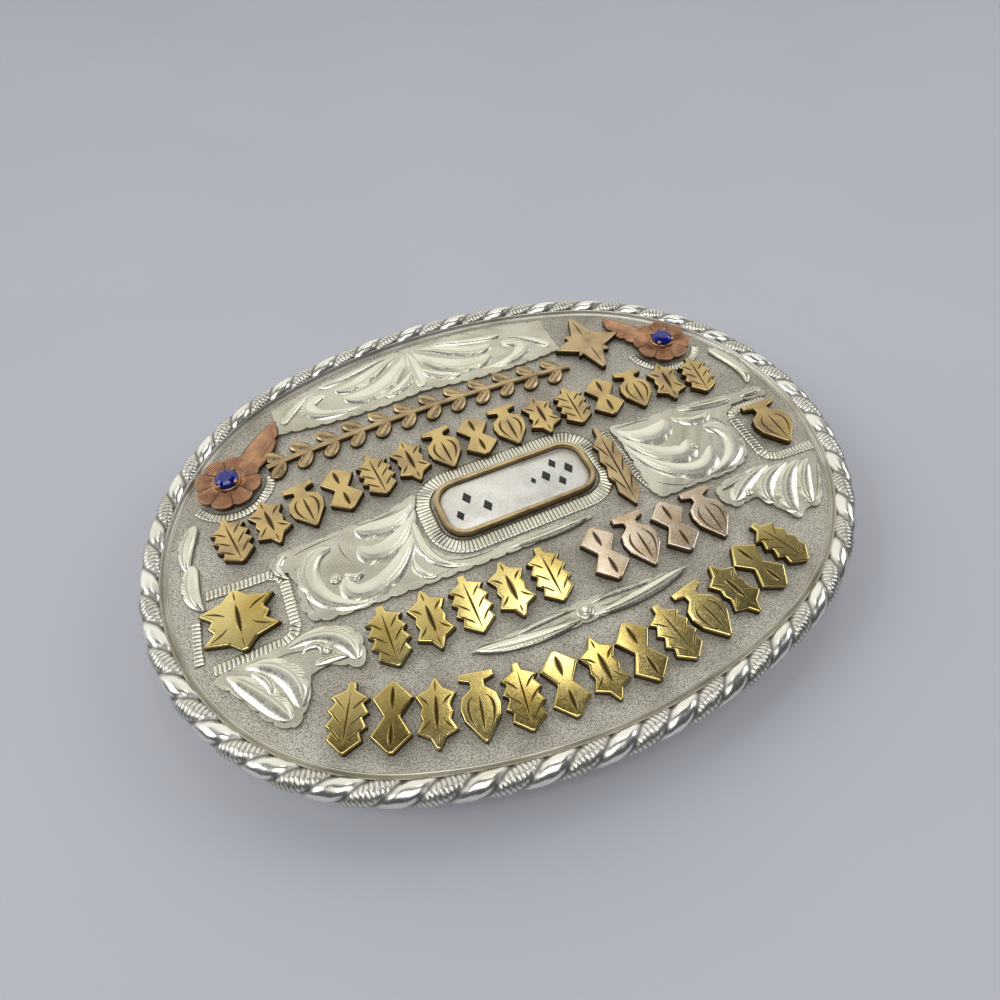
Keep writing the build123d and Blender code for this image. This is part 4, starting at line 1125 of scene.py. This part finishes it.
def blossom_grid(turns=384, rings=26):
    """Petals about the origin and their painted shade: the rim is eight shallow lobes, and each petal is gently
    cupped.

    The height rises from the middle, dips between petals, turns up near the rim and is scored with ninety-six
    radial lines. The section closes along a flat underside.
    """
    angle = 2 * np.pi * np.arange(turns)[:, None] / turns
    from_petal = np.mod(angle, 2 * np.pi / petal_count) - np.pi / petal_count
    valley = (np.abs(from_petal) / (np.pi / petal_count)) ** 3
    rim_radius = petal_circle + petal_radius - 0.6 * valley
    share = np.linspace(0, 1, rings)[None, :]
    score = (0.5 + 0.5 * np.cos(96 * angle)) ** 2 * smooth_step(0.42, 0.55, share)
    score = score * (1 - smooth_step(0.92, 1.0, share))
    height = 0.5 + 0.16 * np.sin(np.pi * share) * np.cos(4 * angle) ** 2 + 0.1 * smooth_step(0.7, 1.0, share)
    height = height - 0.2 * valley * smooth_step(0.4, 0.9, share) - 0.09 * score
    radius = rim_radius * share
    xy = np.stack([radius * np.cos(angle), radius * np.sin(angle)], -1)
    top = with_height(xy, height)
    under = with_height(xy[:, ::-1], 0.12 * share[:, ::-1])
    # Painted shade in the scored lines and in the valleys between the petals, and under the blossom
    painted_shade = np.maximum(0.85 * score, 0.8 * valley**3 * smooth_step(0.4, 0.7, share))
    painted_shade = np.concatenate([np.broadcast_to(painted_shade, radius.shape), np.ones(radius.shape)], axis=1)
    return np.concatenate([top, under], axis=1), painted_shade


def turned_grid(profile, turns=48):
    """A profile of radius and height rows turned round the upright axis."""
    angle = 2 * np.pi * np.arange(turns)[:, None] / turns
    radius = np.array([row[0] for row in profile])[None, :]
    height = np.array([row[1] for row in profile])[None, :]
    return np.stack(np.broadcast_arrays(radius * np.cos(angle), radius * np.sin(angle), height), -1)


def grain_points(x, y, z, radius):
    """A small round grain: a circle turned about its upright axis."""
    level = np.linspace(-np.pi / 2, np.pi / 2, 9)
    return turned_grid(np.stack([radius * np.cos(level), radius * np.sin(level)], -1), 14) + [x, y, z]


# Copper darkened to a rosy brown, bright orange where it is rubbed, with dark shade painted in the scored lines,
# between the petals, under the blossom and in the setting.
rubbed_copper = worn_metal_with_painted_shade("rubbed_copper", "#c99a76", "#a67f65", "#54392a", 0.26, 0.44, 0.3, 0.006,
                           patch_mm=2.0)

setting_profile = (
    (0.0, 0.3), (seat_radius, 0.3), (seat_radius, 0.95), (1.7, 1.0), (1.82, 0.92), (1.92, 0.7), (2.0, 0.5),
    (2.0, 0.1), (0.0, 0.1),
)
for side, (centre_x, centre_y) in flower_centres.items():
    petals, petal_shade = blossom_grid()
    bottom = face_z + flower_lift
    grids = [patch(put_down(petals, centre_x, centre_y, 0.0, bottom), True, False, petal_shade)]
    # The foot under the petals is painted dark all over as shade
    foot = turned_grid(((0.0, 0.0), (flower_foot_radius, 0.0), (flower_foot_radius, flower_lift),
                        (0.0, flower_lift)), 32)
    grids.append(patch(put_down(foot, centre_x, centre_y), True, False, 1.0))
    # Painted shade in the stone's seat and down the setting's outer wall
    grids.append(patch(put_down(turned_grid(setting_profile), centre_x, centre_y, 0.0, bottom), True, False,
                       np.array([1.0, 1.0, 0.6, 0.0, 0.0, 0.1, 0.6, 1.0, 1.0])[None, :]))
    for number in range(4):
        turn = np.radians(45 + 90 * number)
        grain = grain_points(centre_x + grain_circle * np.cos(turn), centre_y + grain_circle * np.sin(turn),
                             face_z + setting_rim - grain_sink, grain_radius)
        grids.append(patch(grain, True, False))
    tip = np.array(flower_leaf_tips[side])
    root = np.array([centre_x, centre_y])
    bend = np.array([tip[1] - root[1], root[0] - tip[0]]) * (0.1 if side == "right" else -0.1)
    leaf_row = (*root, *(root + (tip - root) / 3 + bend), *(root + (tip - root) * 2 / 3 + bend), *tip,
                flower_leaf_width)
    grids.append(curved_leaf_patch(leaf_row, flower_leaf_thickness, bottom, tip_power=0.8))
    make_piece(f"{side}_copper_blossom", grids, rubbed_copper, [f"{side}_flower"], 50.0)


# Stones
# Round cut stones of deep blue glass, 3.4 mm across: an eight-sided table, a ring of crown facets, a thin girdle
# and pavilion facets below.

stone_radius = 1.68
girdle_z = setting_rim - 0.3


def stone_rings():
    """Seven rings of sixteen points: table, crown, girdle top and bottom, pavilion and culet.

    Every other point of the table and crown rings stands nearer the middle, so flat faces meet in kite shapes.
    """
    angle = 2 * np.pi * np.arange(16)[:, None] / 16
    even = (np.arange(16)[:, None] % 2 == 0)
    radius = np.array([0.0, 1.0, 1.4, stone_radius, stone_radius, 0.9, 0.05])[None, :]
    shrink = np.array([1.0, 0.924, 1.04, 1.0, 1.0, 0.96, 1.0])[None, :]
    height = np.array([0.65, 0.65, 0.42, 0.15, 0.0, -0.42, -0.9])[None, :]
    ring = np.where(even, radius, radius * shrink)
    return np.stack(np.broadcast_arrays(ring * np.cos(angle), ring * np.sin(angle), height), -1)


# Blue glass: deep colour with mirror facets. The body takes most of the light, so it looks nearly opaque.
blue_glass, glass_shader = mottled("cut_blue_glass", "#01031c", "#0d1fb8", 0.8, 0.03)
glass_shader.inputs["IOR"].default_value = 1.6
glass_shader.inputs["Coat Weight"].default_value = 0.15
glass_shader.inputs["Transmission Weight"].default_value = 0.2

for side, (centre_x, centre_y) in flower_centres.items():
    stone_points = put_down(stone_rings(), centre_x, centre_y, 0.0, face_z + girdle_z)
    make_piece(f"{side}_cut_stone", [patch(stone_points, True, False)], blue_glass,
               [f"{side}_stone"], 1.0)


# Belt loop and belt hook
# A round wire bar on two legs takes the folded end of the belt, and a peg with a collar takes a belt hole. Both
# are nickel silver with small round feet soldered behind the plate, and keep their shape as made.

# Nickel silver as drawn and left behind the plate: greyer and duller than the rope.
drawn_wire_silver = worn_metal_with_painted_shade("drawn_nickel_silver_wire", "#cfccc2", "#b3afa4", "#4d463d", 0.2, 0.36, 0.4, 0.01)
for node_name in ("belt_loop", "belt_hook"):
    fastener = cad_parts[node_name]
    fastener.data.materials.clear()
    fastener.data.materials.append(drawn_wire_silver)


# Floor, light and camera
# A plain pale board under the buckle, in a room that is light beyond the buckle and dim over the camera, with a
# small soft lamp that shines in the arch row and larger ones overhead and at both sides.

floor_mesh = bpy.data.meshes.new("floor")
floor_half = 1.5
floor_mesh.from_pydata([(-floor_half, -floor_half, 0), (floor_half, -floor_half, 0), (floor_half, floor_half, 0),
                        (-floor_half, floor_half, 0)], [], [(0, 1, 2, 3)])
floor = bpy.data.objects.new("floor", floor_mesh)
bpy.context.scene.collection.objects.link(floor)

# Matt painted board: pale blue-grey, without gloss.
painted_board = mottled("matt_painted_board", "#c6c8d0", "#bdc0c9", 60, 0.9)[0]
floor_mesh.materials.append(painted_board)

world = bpy.data.worlds.new("light_room")
world.use_nodes = True
bpy.context.scene.world = world
sky = world.node_tree
sky.nodes.clear()
direction = add(sky, "ShaderNodeTexCoord").outputs["Generated"]
parts_of_direction = add(sky, "ShaderNodeSeparateXYZ", {0: direction})
towards_back = add(sky, "ShaderNodeMapRange", {"Value": parts_of_direction.outputs["Y"], "From Min": -0.28,
                                               "From Max": -0.6}, interpolation_type="SMOOTHSTEP")
room = add(sky, "ShaderNodeMix", {"Factor": towards_back.outputs[0], "A": linear("#4a4d54"),
                                  "B": linear("#fbfaf6")}, data_type="RGBA")
background = add(sky, "ShaderNodeBackground", {"Color": room.outputs["Result"], "Strength": 1.0})
add(sky, "ShaderNodeOutputWorld", {"Surface": background.outputs["Background"]})


def soft_light(name, place, size, power, colour):
    """A square area light that faces the buckle."""
    lamp = bpy.data.lights.new(name, "AREA")
    lamp.size = size
    lamp.energy = power
    lamp.color = linear(colour)[:3]
    holder = bpy.data.objects.new(name, lamp)
    holder.location = place
    holder.rotation_euler = Vector(place).to_track_quat("Z", "Y").to_euler()
    bpy.context.scene.collection.objects.link(holder)


soft_light("arch_row_softbox", (-0.115, -0.18, 0.506), 0.1, 0.14, "#fffdf4")
soft_light("overhead_softbox", (0.1, 0.24, 0.58), 0.4, 1.4, "#fffefa")
soft_light("left_softbox", (0.62, -0.12, 0.5), 0.4, 1.7, "#fbfcff")
soft_light("right_softbox", (-0.62, 0.02, 0.42), 0.35, 1.1, "#fbfcff")

# A straight curve from light to screen keeps the gold's colour in its brightest places
bpy.context.scene.view_settings.view_transform = "Standard"

# Camera place over the matted face, and its right and backward directions
camera_data = bpy.data.cameras.new("camera")
camera_data.lens = 24.27
camera_data.sensor_width = 36.0
camera_data.clip_start = 0.001
camera = bpy.data.objects.new("camera", camera_data)
camera_right = Vector((-0.9207, 0.3899, -0.0162))
camera_back = Vector((0.218, 0.5484, 0.8073))
camera_up = camera_back.cross(camera_right)
camera.matrix_world = Matrix((camera_right, camera_up, camera_back)).transposed().to_4x4()
camera.location = Vector((22.11, 52.8, face_z + 76.26)) * mm
bpy.context.scene.collection.objects.link(camera)
bpy.context.scene.camera = camera
